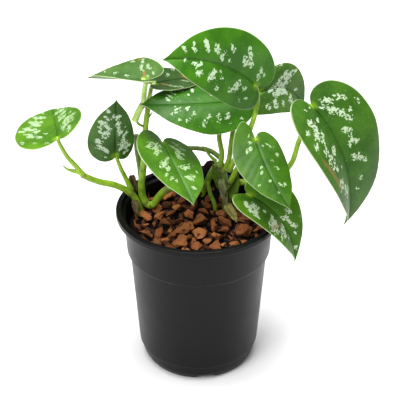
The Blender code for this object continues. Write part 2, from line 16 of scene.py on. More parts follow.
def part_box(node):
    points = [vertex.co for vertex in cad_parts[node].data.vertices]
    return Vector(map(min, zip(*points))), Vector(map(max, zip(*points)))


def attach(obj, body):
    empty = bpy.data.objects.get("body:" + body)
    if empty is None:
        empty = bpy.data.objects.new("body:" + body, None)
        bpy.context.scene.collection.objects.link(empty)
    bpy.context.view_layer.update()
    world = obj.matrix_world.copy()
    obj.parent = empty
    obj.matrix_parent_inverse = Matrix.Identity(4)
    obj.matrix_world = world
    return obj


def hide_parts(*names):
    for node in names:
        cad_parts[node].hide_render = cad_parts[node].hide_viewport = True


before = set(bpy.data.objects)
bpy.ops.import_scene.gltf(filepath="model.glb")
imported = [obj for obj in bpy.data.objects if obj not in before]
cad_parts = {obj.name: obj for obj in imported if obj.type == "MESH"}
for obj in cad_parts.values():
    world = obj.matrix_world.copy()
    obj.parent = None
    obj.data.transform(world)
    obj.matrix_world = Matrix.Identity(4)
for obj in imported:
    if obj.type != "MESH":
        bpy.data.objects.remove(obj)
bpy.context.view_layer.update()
BODY = "root"
MM = 0.001

POT_LOW, POT_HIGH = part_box("pot")
POT_HEIGHT = POT_HIGH.z
RIM_RADIUS = (POT_HIGH.x - POT_LOW.x) / 2

# ---------------------------------------------------------------------------------------------- plant sizes

# Half of a blade's outline, from the notch to the tip: across in half widths, along in lengths.
# Values behind the base (negative) are in lobe depths.
HALF_OUTLINE = [
    (0.0, 0.0),
    (0.10, -0.62),
    (0.36, -1.0),
    (0.68, -0.55),
    (0.93, 0.10),
    (1.0, 0.30),
    (0.90, 0.52),
    (0.64, 0.74),
    (0.27, 0.893),
    (0.07, 0.962),
    (0.0, 1.0),
]

BLADE_ROWS = 72
BLADE_COLUMNS = 24
BLADE_THICKNESS = 0.5 * MM
VEIN_SPACING = 5.5  # mm between lateral veins
VEIN_ANGLE = math.radians(52)  # between midrib and lateral veins
RIB_SPREAD = 1.25  # above 1, rows lie closer together near the base
QUILT_HEIGHT = 0.20 * MM
RUFFLE_PITCH = 2.3
BLADE_RUFFLE = 0.8  # mm, at the margin of a fresh blade
DRY_RUFFLE = 1.92  # mm, at the margin of a dry one
GROOVE_DEPTH = 0.45 * MM
GROOVE_WIDTH = 1.1 * MM
SPLASH_REACH = 1.25  # of a splash's stated size
SPLASH_LENGTHWISE = 1.35
SPLASH_CROSSWISE = 0.75
SCAR_WIDTH = 1.3  # mm
FAR_AWAY = 99.0  # mm, beyond any scar

# base: where the petiole joins, and tip, in mm. face: outward direction of the upper side. width in mm.
# lobe: depth of the basal lobes in lengths. arch, fold, cup, twist in degrees. bow: sideways bend
# of the midrib in mm.
# skew, lobe_skew: how much wider the right half is, and how much deeper its lobe.
# belly: shift of the widest place towards the tip.
# splashes: silver patches as (across in half widths, along in lengths, size in mm). silver: factor
# on their sizes.
# scars: dry lines, each through places given as (across, along).
BLADES = {
    "leaf_far_left": dict(
        base=(-98, -6, 187), tip=(-107, 43, 185), face=(-0.3, 0.0, 0.95), width=51,
        lobe=0.11, arch=5, fold=10, cup=0, twist=-13, bow=0, skew=-0.15,
        tint="spring",
        splashes=[
            (-0.40, 0.75, 4), (-0.30, 0.73, 3), (-0.45, 0.60, 5), (-0.48, 0.53, 4), (-0.68, 0.47, 3),
            (-0.80, 0.43, 3), (-0.55, 0.40, 4), (-0.45, 0.33, 3), (-0.70, 0.32, 3), (-0.62, 0.25, 3),
            (-0.48, 0.22, 3), (-0.40, 0.14, 3), (-0.85, 0.14, 2), (-0.25, 0.22, 2), (-0.55, 0.05, 2),
            (-0.25, 0.86, 2), (-0.25, -0.05, 2), (0.10, 0.76, 3), (0.30, 0.78, 4), (0.22, 0.90, 3),
            (0.40, 0.68, 3), (0.25, 0.60, 4), (0.32, 0.53, 4), (0.20, 0.47, 2), (0.62, 0.55, 2),
            (0.55, 0.42, 3), (0.70, 0.42, 3), (0.42, 0.40, 3), (0.35, 0.30, 5), (0.32, 0.20, 4),
            (0.55, 0.28, 4), (0.65, 0.24, 3), (0.50, 0.10, 3), (0.48, 0.0, 3), (0.30, 0.12, 2),
        ],
    ),
    "leaf_left": dict(
        base=(-59, 11, 164), tip=(-57, 10, 209), face=(0.26, -0.97, 0.0), width=34,
        lobe=0.11, arch=30, fold=2, cup=17, twist=7, bow=-1, skew=-0.2,
        tint="grey",
        splashes=[
            (-0.28, 0.83, 2), (-0.08, 0.74, 2), (-0.30, 0.70, 3), (-0.42, 0.62, 4), (-0.55, 0.58, 2),
            (-0.30, 0.55, 3), (-0.45, 0.48, 3), (-0.28, 0.46, 2), (-0.40, 0.40, 3), (-0.60, 0.32, 3),
            (-0.60, 0.20, 3), (-0.45, 0.17, 3), (-0.35, 0.12, 2), (-0.25, 0.07, 1), (-0.38, -0.01, 1),
            (0.12, 0.72, 3), (0.10, 0.60, 3), (0.15, 0.52, 3), (0.22, 0.44, 3), (0.50, 0.55, 1),
            (0.52, 0.41, 3), (0.32, 0.28, 4), (0.45, 0.22, 4), (0.30, 0.15, 3), (0.55, 0.15, 2),
            (0.70, 0.18, 2), (0.50, 0.05, 3), (0.15, 0.10, 1),
        ],
    ),
    "leaf_upper_left": dict(
        base=(-37, 5, 227), tip=(-78, 21, 221), face=(-0.07, 0.18, 0.98), width=41,
        lobe=0.26, arch=0, fold=18, cup=-4, twist=-15, skew=0.12, belly=-0.03,
        tint="pale", silver=0.85,
        splashes=[
            (0.85, 0.42, 2), (0.86, 0.36, 2), (0.93, 0.20, 2), (0.75, 0.18, 2), (0.62, 0.18, 3),
            (0.60, 0.07, 3), (0.46, 0.15, 2), (0.40, 0.08, 2), (0.52, 0.0, 2), (0.31, 0.58, 3),
            (0.26, 0.52, 2), (0.17, 0.35, 2), (0.12, 0.30, 2), (0.37, 0.76, 2), (0.28, -0.10, 2),
            (0.14, -0.03, 2),
        ],
        scars=[[(0.88, 0.27), (0.93, 0.25)], [(0.34, 0.07), (0.14, 0.03)]],
    ),
    "leaf_front_left": dict(
        base=(-25, 3, 179), tip=(-3, -47, 158), face=(0.46, -0.17, 0.87), width=51,
        lobe=0.16, arch=27, fold=8, cup=14, twist=-9, bow=3, skew=0.06, belly=-0.03, lobe_skew=0.3,
        tint="fresh", silver=1.08,
        splashes=[
            (-0.30, 0.64, 3), (-0.20, 0.62, 2), (-0.42, 0.60, 2), (-0.65, 0.55, 2), (-0.38, 0.47, 3),
            (-0.20, 0.47, 3), (-0.55, 0.43, 2), (-0.30, 0.32, 3), (-0.40, 0.22, 4), (-0.28, 0.25, 3),
            (-0.55, 0.12, 3), (-0.30, 0.14, 3), (-0.20, 0.08, 2), (-0.40, 0.04, 3), (-0.55, 0.03, 2),
            (-0.25, 0.78, 2), (0.20, 0.68, 2), (0.33, 0.65, 2), (0.45, 0.60, 2), (0.30, 0.50, 3),
            (0.35, 0.42, 4), (0.48, 0.48, 2), (0.15, 0.33, 2), (0.45, 0.27, 3), (0.40, 0.18, 4),
            (0.30, 0.22, 2), (0.60, 0.15, 3), (0.50, 0.09, 3), (0.30, 0.10, 3), (0.20, 0.12, 2),
        ],
    ),
    "leaf_top": dict(
        base=(40, 16, 217), tip=(-24, -17, 252), face=(0.55, -0.79, 0.27), width=51,
        lobe=0.10, arch=23, fold=13, cup=18, twist=-43, bow=7, skew=0.09,
        tint="deep", silver=0.92,
        splashes=[
            (-0.38, 0.66, 4), (-0.15, 0.67, 4), (-0.42, 0.53, 5), (-0.25, 0.52, 3), (-0.68, 0.45, 3),
            (-0.35, 0.42, 2), (-0.20, 0.45, 2), (-0.55, 0.28, 4), (-0.40, 0.22, 5), (-0.25, 0.22, 3),
            (-0.30, 0.12, 3), (-0.70, 0.13, 2), (-0.52, 0.06, 2), (-0.12, 0.72, 2), (-0.03, 0.80, 2),
            (0.25, 0.83, 3), (0.25, 0.74, 3), (0.38, 0.75, 2), (0.45, 0.65, 3), (0.30, 0.62, 3),
            (0.35, 0.53, 4), (0.20, 0.47, 3), (0.33, 0.45, 2), (0.48, 0.39, 3), (0.15, 0.38, 2),
            (0.33, 0.24, 4), (0.37, 0.18, 4), (0.58, 0.22, 4), (0.20, 0.04, 3), (0.38, 0.05, 3),
            (0.35, 0.0, 2),
        ],
    ),
    "leaf_middle": dict(
        base=(28, 26, 200), tip=(-40.5, 7, 207), face=(0.14, -0.33, 0.93), width=49,
        lobe=0.16, arch=15, fold=4, cup=34, twist=-8, bow=-4,
        tint="deep", silver=0.85,
        splashes=[
            (-0.20, 0.65, 4), (-0.15, 0.55, 3), (-0.35, 0.72, 2), (-0.55, 0.65, 2), (-0.55, 0.57, 3),
            (-0.35, 0.50, 3), (-0.60, 0.40, 3), (-0.75, 0.42, 2), (-0.45, 0.35, 3), (-0.60, 0.25, 3),
            (-0.50, 0.15, 4), (-0.45, 0.25, 3), (-0.70, 0.12, 2), (-0.60, 0.0, 2), (-0.10, 0.68, 2),
            (0.20, 0.72, 3), (0.35, 0.70, 3), (0.50, 0.65, 3), (0.15, 0.62, 2), (0.60, 0.55, 3),
            (0.55, 0.45, 2), (0.70, 0.45, 3), (0.40, 0.50, 2), (0.35, 0.25, 4), (0.45, 0.10, 3),
        ],
    ),
    "leaf_back_left": dict(
        base=(-32, 25, 214), tip=(3, 55, 204), face=(0.1, -0.12, 0.98), width=31,
        lobe=0.12, arch=12, fold=12, cup=10, twist=0, bow=0,
        # the shade tint is painted shade
        tint="shade", silver=0.85,
        splashes=[
            (-0.52, 0.41, 3), (-0.73, 0.56, 3), (-0.40, 0.36, 3), (-0.62, 0.22, 2), (0.56, 0.20, 3),
            (0.77, 0.27, 3), (0.90, 0.34, 3), (0.30, 0.55, 3), (-0.20, 0.75, 2),
        ],
        scars=[[(0.25, 0.11), (0.42, 0.15)], [(-0.18, 0.62), (-0.04, 0.66)]],
    ),
    "leaf_back_right": dict(
        base=(43, 36, 201), tip=(78, 58, 176), face=(0.67, -0.72, 0.18), width=39,
        lobe=0.12, arch=33, fold=13, cup=15, twist=-8, bow=-10, belly=-0.03,
        tint="moss",
        splashes=[
            (-0.55, 0.40, 5), (-0.55, 0.33, 4), (-0.25, 0.40, 4), (-0.30, 0.28, 3), (-0.15, 0.64, 2),
            (-0.75, 0.48, 2), (0.08, 0.42, 4), (0.02, 0.32, 5), (-0.05, 0.20, 4), (0.30, 0.58, 4),
            (0.32, 0.28, 2), (0.12, 0.25, 4), (0.45, 0.75, 2), (0.55, 0.45, 3), (0.60, 0.30, 4),
            (0.70, 0.20, 3), (-0.90, 0.20, 3),
        ],
    ),
    "leaf_right": dict(
        base=(79, 8, 205), tip=(106, -7, 116), face=(0.73, -0.61, 0.33), width=74,
        lobe=0.10, arch=59, fold=32, cup=36, twist=13, bow=-4, belly=-0.04,
        tint="muted", silver=0.85,
        splashes=[
            (-0.25, 0.63, 3), (-0.17, 0.71, 2), (-0.42, 0.52, 3), (-0.30, 0.48, 5), (-0.18, 0.47, 3),
            (-0.33, 0.36, 5), (-0.22, 0.37, 3), (-0.30, 0.28, 4), (-0.22, 0.27, 3), (-0.43, 0.20, 4),
            (-0.55, 0.17, 3), (-0.35, 0.14, 5), (-0.25, 0.11, 5), (-0.50, 0.05, 4), (-0.28, 0.03, 5),
            (-0.60, 0.08, 3), (-0.15, 0.05, 3), (-0.80, 0.14, 3), (0.36, 0.64, 5), (0.46, 0.61, 4),
            (0.55, 0.55, 6), (0.36, 0.46, 2), (0.55, 0.45, 3), (0.62, 0.42, 4), (0.38, 0.33, 5),
            (0.50, 0.36, 4), (0.62, 0.36, 5), (0.63, 0.30, 4), (0.55, 0.24, 3), (0.80, 0.24, 4),
            (0.45, 0.20, 4), (0.60, 0.18, 5), (0.50, 0.12, 5), (0.52, 0.08, 4), (0.75, 0.13, 3),
            (0.25, 0.10, 3), (0.35, 0.0, 2), (0.15, 0.0, 2),
        ],
        scars=[[(0.62, 0.57), (0.70, 0.48), (0.82, 0.34)]],
    ),
    "leaf_front_right": dict(
        base=(40, -1, 184), tip=(63, -43, 152), face=(0.34, -0.43, 0.84), width=42,
        lobe=0.19, arch=19, fold=0, cup=12, twist=-8, bow=4, skew=0.05, belly=-0.06, lobe_skew=0.5,
        tint="clear", silver=0.8,
        splashes=[
            (-0.40, 0.45, 3), (-0.33, 0.35, 2), (-0.68, 0.28, 3), (-0.55, 0.15, 3), (-0.40, 0.11, 3),
            (-0.20, 0.12, 2), (-0.22, 0.68, 3), (-0.35, 0.68, 2), (0.02, 0.76, 2), (0.12, 0.60, 2),
            (0.53, 0.61, 2), (0.25, 0.47, 2), (0.20, 0.40, 2), (0.37, 0.14, 4), (0.25, 0.04, 3),
            (0.25, -0.06, 2),
        ],
    ),
    "leaf_low_right": dict(
        base=(36, -19, 149), tip=(69, -33, 101), face=(0.62, -0.52, 0.59), width=43,
        lobe=0.12, arch=40, fold=19, cup=16, twist=17, bow=-7, belly=-0.04,
        tint="low", silver=1.05,
        splashes=[
            (-0.30, 0.62, 3), (-0.20, 0.55, 2), (-0.75, 0.60, 2), (-0.10, 0.85, 2), (-0.25, 0.70, 2),
            (-0.15, 0.48, 3), (-0.40, 0.45, 3), (0.20, 0.68, 2), (0.35, 0.62, 3), (0.30, 0.55, 4),
            (0.50, 0.45, 6), (0.60, 0.42, 5), (0.30, 0.35, 2), (0.35, 0.25, 2), (0.72, 0.22, 3),
            (0.65, 0.14, 4), (0.45, 0.15, 4), (0.50, 0.05, 3), (0.35, 0.10, 2), (0.60, 0.60, 2),
        ],
        scars=[[(0.20, 0.48), (0.45, 0.47), (0.68, 0.43)]],
    ),
}

# Petioles: the blade each one carries, its route below the blade in mm, and its radii at the two ends in mm.
PETIOLES = {
    "petiole_far_left": ("leaf_far_left", [(-83, 0, 155), (-87, -1, 162), (-92, -3, 170),
                                           (-96, -5, 180)], 2.0, 1.3),
    "petiole_left": ("leaf_left", [(-50, 14, 135), (-53, 14, 143), (-56, 13, 151)], 2.0, 1.2),
    "petiole_upper_left": ("leaf_upper_left", [(-38.5, 15, 205), (-38, 13.5, 212), (-37, 10, 219)],
                           2.1, 1.6),
    "petiole_front_left": ("leaf_front_left", [(-38, 18, 164), (-36, 14, 170), (-31, 8, 176)], 1.8, 1.3),
    "petiole_top": ("leaf_top", [(23, 16, 150), (30, 15, 167), (38, 18, 185), (42, 23, 203)], 2.2, 1.5),
    "petiole_middle": ("leaf_middle", [(16, 21, 151), (17, 22, 159), (15, 25, 173), (19, 29, 185)],
                       2.0, 1.5),
    "petiole_back_left": ("leaf_back_left", [(-35.5, 19.3, 199), (-35, 18.8, 204),
                                             (-34, 19.5, 209)], 1.8, 1.4),
    "petiole_back_right": ("leaf_back_right", [(19, 22, 146), (22, 21, 154), (25, 27, 175),
                                               (31, 36, 187)], 2.0, 1.3),
    "petiole_right": ("leaf_right", [(27, 18, 137), (43, 17, 139), (57, 17, 143), (67, 17, 153),
                                     (72, 18, 171),
                                     (77, 17, 190)], 2.4, 1.6),
    "petiole_front_right": ("leaf_front_right", [(24, 12, 143), (29, 9, 157), (35, 4, 173)], 2.0, 1.4),
    "petiole_low_right": ("leaf_low_right", [(26, 12, 128), (30, 4, 134), (34, -8, 141)], 2.0, 1.4),
}

PETIOLE_TINTS = {"petiole_upper_left": "pale", "petiole_back_left": "pale"}  # the rest are fresh

# Stems: route in mm, radii at the two ends in mm, and the places of their nodes as parts of the length.
STEMS = {
    "stem_left_vine": ([(-41, 14, 102), (-43, 14, 114), (-45, 14, 122), (-48, 14, 128), (-52, 13, 133),
                        (-62, 10, 140), (-72, 6, 145), (-83, 0, 154)], 2.7, 2.2, (0.42,), "fresh"),
    "growing_tip": ([(-83, 0, 155), (-85, -1, 157), (-89, -1, 158), (-93, -2, 160), (-96, -2, 163)],
                    2.2, 0.4, (), "fresh"),
    "stem_upright": ([(-35, 16, 119), (-38, 17, 119), (-41, 18, 124), (-42, 18, 136),
                      (-41, 19, 144), (-40, 19, 152),
                      (-39, 20, 163), (-38, 20, 181), (-36.5, 19.5, 193), (-35.4, 19.2, 200.5)],
                     2.9, 1.9, (0.06, 0.60, 0.98), "fresh"),
    "stem_runner": ([(-35, 16, 119), (-33, 16, 120), (-30, 16, 125), (-25, 16, 131), (-20, 16, 134)],
                    2.8, 2.6, (0.85,), "fresh"),
    "stem_old": ([(-40, 24, 102), (-42, 25, 126), (-43, 25, 143), (-45, 25, 162), (-45, 25, 173)],
                 2.2, 1.8, (0.55, 0.97), "old"),
    "stem_cut_stub": ([(-35.5, 19, 200), (-37.5, 16, 203.5), (-39.3, 14.5, 202.5), (-42, 14, 198),
                       (-45, 13, 191)],
                      2.0, 2.5, (0.35,), "pale"),
    "crown_stem": ([(21, 19, 100), (21, 19, 118), (20, 20, 130), (18, 23, 141), (17, 26, 148)],
                   3.6, 3.0, (0.6, 0.9), "old"),
    "stem_front_runner": ([(3, 35, 104), (4, 34, 120), (8, 32, 133), (12, 31, 142), (17, 27, 148)],
                          2.6, 2.4, (0.45, 0.92), "fresh"),
    "stem_side_root": ([(12, 18, 104), (12, 18, 118), (9, 22, 124), (7, 30, 131)], 1.7, 1.5, (), "fresh"),
    "shoot_spike": ([(13, 30, 148), (8, 31, 153), (3, 32, 160)], 1.6, 0.3, (), "fresh"),
    "stem_back_runner": ([(17, 30, 150), (9, 35, 154), (1, 37, 155), (-10, 38, 155)], 1.9, 1.6,
                         (0.5,), "old"),
    "side_bud": ([(-37.2, 19.6, 189), (-35, 18.6, 191.5), (-32.6, 18, 195.5)], 1.1, 0.3, (), "old"),
    "stub_shoot": ([(-44, 13.4, 192.5), (-43, 14.2, 188.5), (-39.5, 17.8, 184)], 1.0, 0.9, (), "fresh"),
}

# Dry sheaths and leaf remains: base and tip in mm, facing, width in mm.
SCALES = {
    "sheath_pale": dict(base=(17, 15, 141), tip=(21, 13, 117), face=(-0.1, -1.0, 0.2), width=6,
                        arch=12, fold=25,
                        lobe=0.05, tint="husk"),
    "sheath_dry_left": dict(base=(-49, 21, 141), tip=(-47, 20, 124), face=(0.1, -1.0, 0.3), width=6, arch=10,
                            fold=25, lobe=0.05, tint="bark"),
    "sheath_pointed_left": dict(base=(-47, 9, 127), tip=(-45, 1, 119), face=(0.1, -0.8, 0.6),
                                width=5, arch=15,
                                fold=20, lobe=0.05, tint="bark"),
    "leaf_dry_remains": dict(base=(21, 7, 124), tip=(28, -8, 119), face=(0.0, -0.3, 1.0), width=7, arch=8,
                             fold=15, lobe=0.05, tint="straw"),
    "sheath_green_left": dict(base=(20, 17, 130), tip=(10, 25, 149), face=(-0.4, -0.9, 0.1),
                              width=10, arch=-10,
                              fold=35, lobe=0.05, tint="green"),
    "sheath_green_right": dict(base=(22, 15, 128), tip=(29, 13, 147), face=(0.3, -0.95, 0.1),
                               width=11, arch=-12,
                               fold=35, lobe=0.05, tint="green"),
}


# -------------------------------------------------------------------------------- curves and meshes


def in_metres(points):
    return [tuple(value * MM for value in point) for point in points]


def smooth_curve(points, count):
    """Points evenly spread along a smooth curve through the given points (centripetal Catmull-Rom)."""
    pts = np.asarray(points, float)
    knots = np.concatenate([[0.0], np.cumsum(np.linalg.norm(np.diff(pts, axis=0), axis=1) ** 0.5)])
    spans = np.diff(knots)
    slopes = np.diff(pts, axis=0) / spans[:, None]
    tangents = np.empty_like(pts)
    weights = spans[1:] + spans[:-1]
    tangents[1:-1] = (slopes[:-1] * spans[1:, None] + slopes[1:] * spans[:-1, None]) / weights[:, None]
    tangents[0] = 1.5 * slopes[0] - 0.5 * tangents[1]
    tangents[-1] = 1.5 * slopes[-1] - 0.5 * tangents[-2]
    curve = []
    for i, span in enumerate(spans):
        start, end = Vector(pts[i]), Vector(pts[i + 1])
        handle_a = start + Vector(tangents[i]) * (span / 3)
        handle_b = end - Vector(tangents[i + 1]) * (span / 3)
        piece = interpolate_bezier(start, handle_a, handle_b, end, 17)
        curve.extend(piece if i == 0 else piece[1:])
    curve = np.array(curve)
    along = np.concatenate([[0.0], np.cumsum(np.linalg.norm(np.diff(curve, axis=0), axis=1))])
    wanted = np.linspace(0.0, along[-1], count)
    return np.stack([np.interp(wanted, along, curve[:, k]) for k in range(curve.shape[1])], axis=1)


def add_piece(name, mesh, materials, node=None, smooth_angle=None):
    """An object that rides on the plant's one body, and stands for a node of the frame if one is named."""
    mesh.shade_smooth()
    if smooth_angle is not None:
        mesh.set_sharp_from_angle(angle=math.radians(smooth_angle))
    obj = bpy.data.objects.new(name, mesh)
    bpy.context.scene.collection.objects.link(obj)
    for mat in materials:
        mesh.materials.append(mat)
    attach(obj, BODY)
    if node is not None:
        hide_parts(*([node] if isinstance(node, str) else node))
    return obj


def node_of(name):
    """The frame's node of this name, or None for a detail that stands for no node."""
    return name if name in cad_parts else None


def mesh_from(name, bm):
    bmesh.ops.recalc_face_normals(bm, faces=bm.faces)
    mesh = bpy.data.meshes.new(name)
    bm.to_mesh(mesh)
    bm.free()
    return mesh


def circle(radius, height, segments):
    """Points evenly spaced round the Z axis."""
    turns = [2 * math.pi * k / segments for k in range(segments)]
    return [(radius * math.cos(turn), radius * math.sin(turn), height) for turn in turns]


def point_values(mesh, name, values):
    layer = mesh.attributes.new(name, "FLOAT", "POINT")
    layer.data.foreach_set("value", np.asarray(values, dtype=np.float32))


# ----------------------------------------------------------------------------------- shader helpers


class Shader:
    """Adds nodes to a material's or a group's tree and links them by what is passed in."""

    def __init__(self, tree):
        self.tree = tree

    def node(self, kind, inputs=None, **settings):
        made = self.tree.nodes.new(kind)
        for key, value in settings.items():
            setattr(made, key, value)
        for key, value in (inputs or {}).items():
            self.put(made.inputs[key], value)
        return made

    def put(self, socket, value):
        if isinstance(value, bpy.types.NodeSocket):
            self.tree.links.new(value, socket)
        else:
            socket.default_value = value

    def math(self, operation, a, b=0.0):
        return self.node("ShaderNodeMath", {0: a, 1: b}, operation=operation).outputs[0]

    def plus(self, a, b):
        return self.math("ADD", a, b)

    def minus(self, a, b):
        return self.math("SUBTRACT", a, b)

    def times(self, a, b):
        return self.math("MULTIPLY", a, b)

    def vector_math(self, operation, a, b):
        return self.node("ShaderNodeVectorMath", {0: a, 1: b}, operation=operation).outputs[0]

    def scaled(self, vector, factors):
        return self.vector_math("MULTIPLY", vector, factors)

    def flat_place(self, uv_map):
        """Place on the flattened surface, in mm."""
        return self.scaled(self.node("ShaderNodeUVMap", uv_map=uv_map).outputs[0], (1 / MM, 1 / MM, 0.0))

    def object_place(self):
        return self.node("ShaderNodeTexCoord").outputs["Object"]

    def blend(self, factor, a, b, mode="MIX"):
        made = self.node("ShaderNodeMix", data_type="RGBA", blend_type=mode)
        self.put(made.inputs[0], factor)
        self.put(made.inputs[6], a)
        self.put(made.inputs[7], b)
        return made.outputs[2]

    def noise(self, vector, scale, detail=3.0, roughness=0.5, distortion=0.0):
        inputs = {"Vector": vector, "Scale": scale, "Detail": detail, "Roughness": roughness,
                  "Distortion": distortion}
        return self.node("ShaderNodeTexNoise", inputs).outputs["Fac"]

    def step(self, value, low, high, to_low=0.0, to_high=1.0):
        inputs = {"Value": value, "From Min": low, "From Max": high, "To Min": to_low, "To Max": to_high}
        return self.node("ShaderNodeMapRange", inputs, interpolation_type="SMOOTHSTEP").outputs["Result"]

    def join(self, x, y, z):
        return self.node("ShaderNodeCombineXYZ", {0: x, 1: y, 2: z}).outputs[0]

    def split(self, vector):
        return self.node("ShaderNodeSeparateXYZ", {0: vector}).outputs

    def value(self, name):
        return self.node("ShaderNodeAttribute", attribute_name=name).outputs["Fac"]

    def group(self, tree, inputs):
        made = self.node("ShaderNodeGroup")
        made.node_tree = tree
        for key, value in inputs.items():
            self.put(made.inputs[key], value)
        return made.outputs


def new_group(name, inputs, outputs):
    """A shader node group with named sockets.

    Returns the tree, its input sockets and a function that closes it."""
    kinds = {"f": "NodeSocketFloat", "c": "NodeSocketColor", "v": "NodeSocketVector"}
    tree = bpy.data.node_groups.new(name, "ShaderNodeTree")
    for key, kind in inputs:
        tree.interface.new_socket(key, in_out="INPUT", socket_type=kinds[kind])
    for key, kind in outputs:
        tree.interface.new_socket(key, in_out="OUTPUT", socket_type=kinds[kind])
    shader = Shader(tree)
    entry = shader.node("NodeGroupInput").outputs

    def close(results):
        shader.node("NodeGroupOutput", results)

    return shader, entry, close, tree


def new_material(name, roughness=0.5, specular=0.5):
    """A material with one Principled shader. Returns it with its shader helper and its main node."""
    mat = bpy.data.materials.new(name)
    mat.use_nodes = True
    shader = Shader(mat.node_tree)
    main = mat.node_tree.nodes["Principled BSDF"]
    main.inputs["Roughness"].default_value = roughness
    main.inputs["Specular IOR Level"].default_value = specular
    return mat, shader, main


def rgb(red, green, blue):
    """Linear colour from display values of 0 to 255."""
    parts = [v / 255 for v in (red, green, blue)]
    return (*[p / 12.92 if p < 0.04045 else ((p + 0.055) / 1.055) ** 2.4 for p in parts], 1.0)


def bump(shader, height, strength, distance):
    return shader.node("ShaderNodeBump", {"Height": height, "Strength": strength,
                                          "Distance": distance}).outputs[0]


# --------------------------------------------------------------------------- shared surface effects


def group_vein_field():
    """Position along and across the lateral veins, in mm, from the flat blade's coordinates in mm."""
    shader, entry, close, tree = new_group("vein_field", [("Flat", "v"), ("Seed", "f")], [("Vein", "v")])
    x, y, _ = shader.split(entry["Flat"])
    side = shader.math("ABSOLUTE", x)
    sine, cosine = math.sin(VEIN_ANGLE), math.cos(VEIN_ANGLE)
    along = shader.plus(shader.times(side, sine), shader.times(y, cosine))
    across = shader.minus(shader.times(y, sine), shader.times(side, cosine))
    left = shader.math("LESS_THAN", x, 0.0)
    offset = shader.plus(shader.times(left, 37.0), shader.times(entry["Seed"], 91.0))
    close({"Vein": shader.join(along, across, offset)})
    return tree


def group_silver_splash(vein_field):
    """Torn silver patches where the splash field is high, and a few stray flecks between them."""
    inputs = [("Flat", "v"), ("Seed", "f"), ("Splash", "f"), ("Margin", "f"), ("Specks", "f"),
              ("Drawn", "f")]
    shader, entry, close, tree = new_group("silver_splash", inputs, [("Mask", "f")])
    vein = shader.group(vein_field, {"Flat": entry["Flat"], "Seed": entry["Seed"]})["Vein"]
    stretch = shader.join(shader.math("DIVIDE", 1.0, entry["Drawn"]), entry["Drawn"], 1.0)
    even = shader.scaled(vein, stretch)
    jag = shader.noise(shader.scaled(even, (0.5, 0.5, 1.0)), 1.0, 2.0, 0.55, 0.4)
    cells = shader.node("ShaderNodeTexVoronoi", {"Vector": shader.scaled(even, (0.8, 0.8, 1.0)),
                                                 "Scale": 1.0}).outputs["Color"]
    shade = shader.split(cells)[0]
    fleck = shader.noise(shader.scaled(vein, (0.7, 1.1, 1.0)), 1.0, 1.0, 0.5)
    torn = shader.plus(shader.times(shader.minus(jag, 0.5), 3.6),
                       shader.times(shader.minus(shade, 0.5), 0.9))
    near = shader.math("MINIMUM", shader.times(entry["Splash"], 2.2), 1.0)
    field = shader.plus(entry["Splash"], shader.times(torn, near))
    patches = shader.step(field, 0.53, 0.59)
    inside = shader.step(entry["Margin"], 0.97, 0.80)
    rare = shader.times(inside, entry["Specks"])
    flecks = shader.times(shader.step(fleck, 0.735, 0.775), rare)
    close({"Mask": shader.math("MAXIMUM", patches, flecks)})
    return tree


def group_blade_relief(vein_field):
    """Height of a blade: shallow quilting between lateral veins, a midrib groove and fine grain."""
    inputs = [("Flat", "v"), ("Seed", "f"), ("Silver", "f")]
    shader, entry, close, tree = new_group("blade_relief", inputs, [("Height", "f"), ("Midrib",
                                                                                      "f"), ("Cells", "f"),
                                                             ("Furrow", "f")])
    vein = shader.group(vein_field, {"Flat": entry["Flat"], "Seed": entry["Seed"]})["Vein"]
    along, across, _ = shader.split(vein)
    wander = shader.noise(shader.scaled(vein, (0.08, 0.08, 1.0)), 1.0, 2.0)
    bent = shader.plus(across, shader.times(wander, 9.0))
    wave = shader.math("SINE", shader.times(bent, 2 * math.pi / VEIN_SPACING))
    quilt = shader.times(wave, 0.07)
    x, _, _ = shader.split(entry["Flat"])
    # rib marks the midrib groove: it lowers the height, and the upper side darkens it as painted shade
    rib = shader.step(shader.math("ABSOLUTE", x), 1.1, 0.1)
    grain = shader.noise(entry["Flat"], 1.6, 4.0, 0.6)
    height = shader.minus(shader.plus(quilt, shader.times(grain, 0.30)), rib)
    height = shader.plus(height, shader.times(entry["Silver"], 0.15))
    # furrow marks the valleys of the quilting along the lateral veins; the upper side darkens them as
    # painted shade
    furrow = shader.step(wave, -0.55, -1.0)
    close({"Height": height, "Midrib": rib, "Cells": grain, "Furrow": furrow})
    return tree


def group_fibre_grain():
    """Lengthwise streaks of a stem, from (round, along) coordinates in mm."""
    shader, entry, close, tree = new_group("fibre_grain", [("Skin", "v"), ("Stretch", "f")],
                                           [("Streaks", "f"), ("Blotches", "f")])
    x, y, _ = shader.split(entry["Skin"])
    lean = shader.join(x, shader.times(y, entry["Stretch"]), 0.0)
    streaks = shader.noise(lean, 1.7, 4.0, 0.6)
    blotches = shader.noise(entry["Skin"], 0.16, 3.0, 0.55)
    close({"Streaks": streaks, "Blotches": blotches})
    return tree


def group_crumb():
    """Broken, gritty surface of bark and baked grains, in object space."""
    shader, entry, close, tree = new_group("crumb", [("Place", "v"), ("Scale", "f")],
                                           [("Coarse", "f"), ("Fine", "f"), ("Height", "f")])
    coarse = shader.noise(entry["Place"], entry["Scale"], 5.0, 0.62, 0.6)
    fine = shader.noise(entry["Place"], shader.times(entry["Scale"], 5.0), 4.0, 0.7)
    height = shader.plus(coarse, shader.times(fine, 0.35))
    close({"Coarse": coarse, "Fine": fine, "Height": height})
    return tree


VEIN_FIELD = group_vein_field()
SILVER_SPLASH = group_silver_splash(VEIN_FIELD)
BLADE_RELIEF = group_blade_relief(VEIN_FIELD)
FIBRE_GRAIN = group_fibre_grain()
CRUMB = group_crumb()


# ---------------------------------------------------------------------------------------------- materials

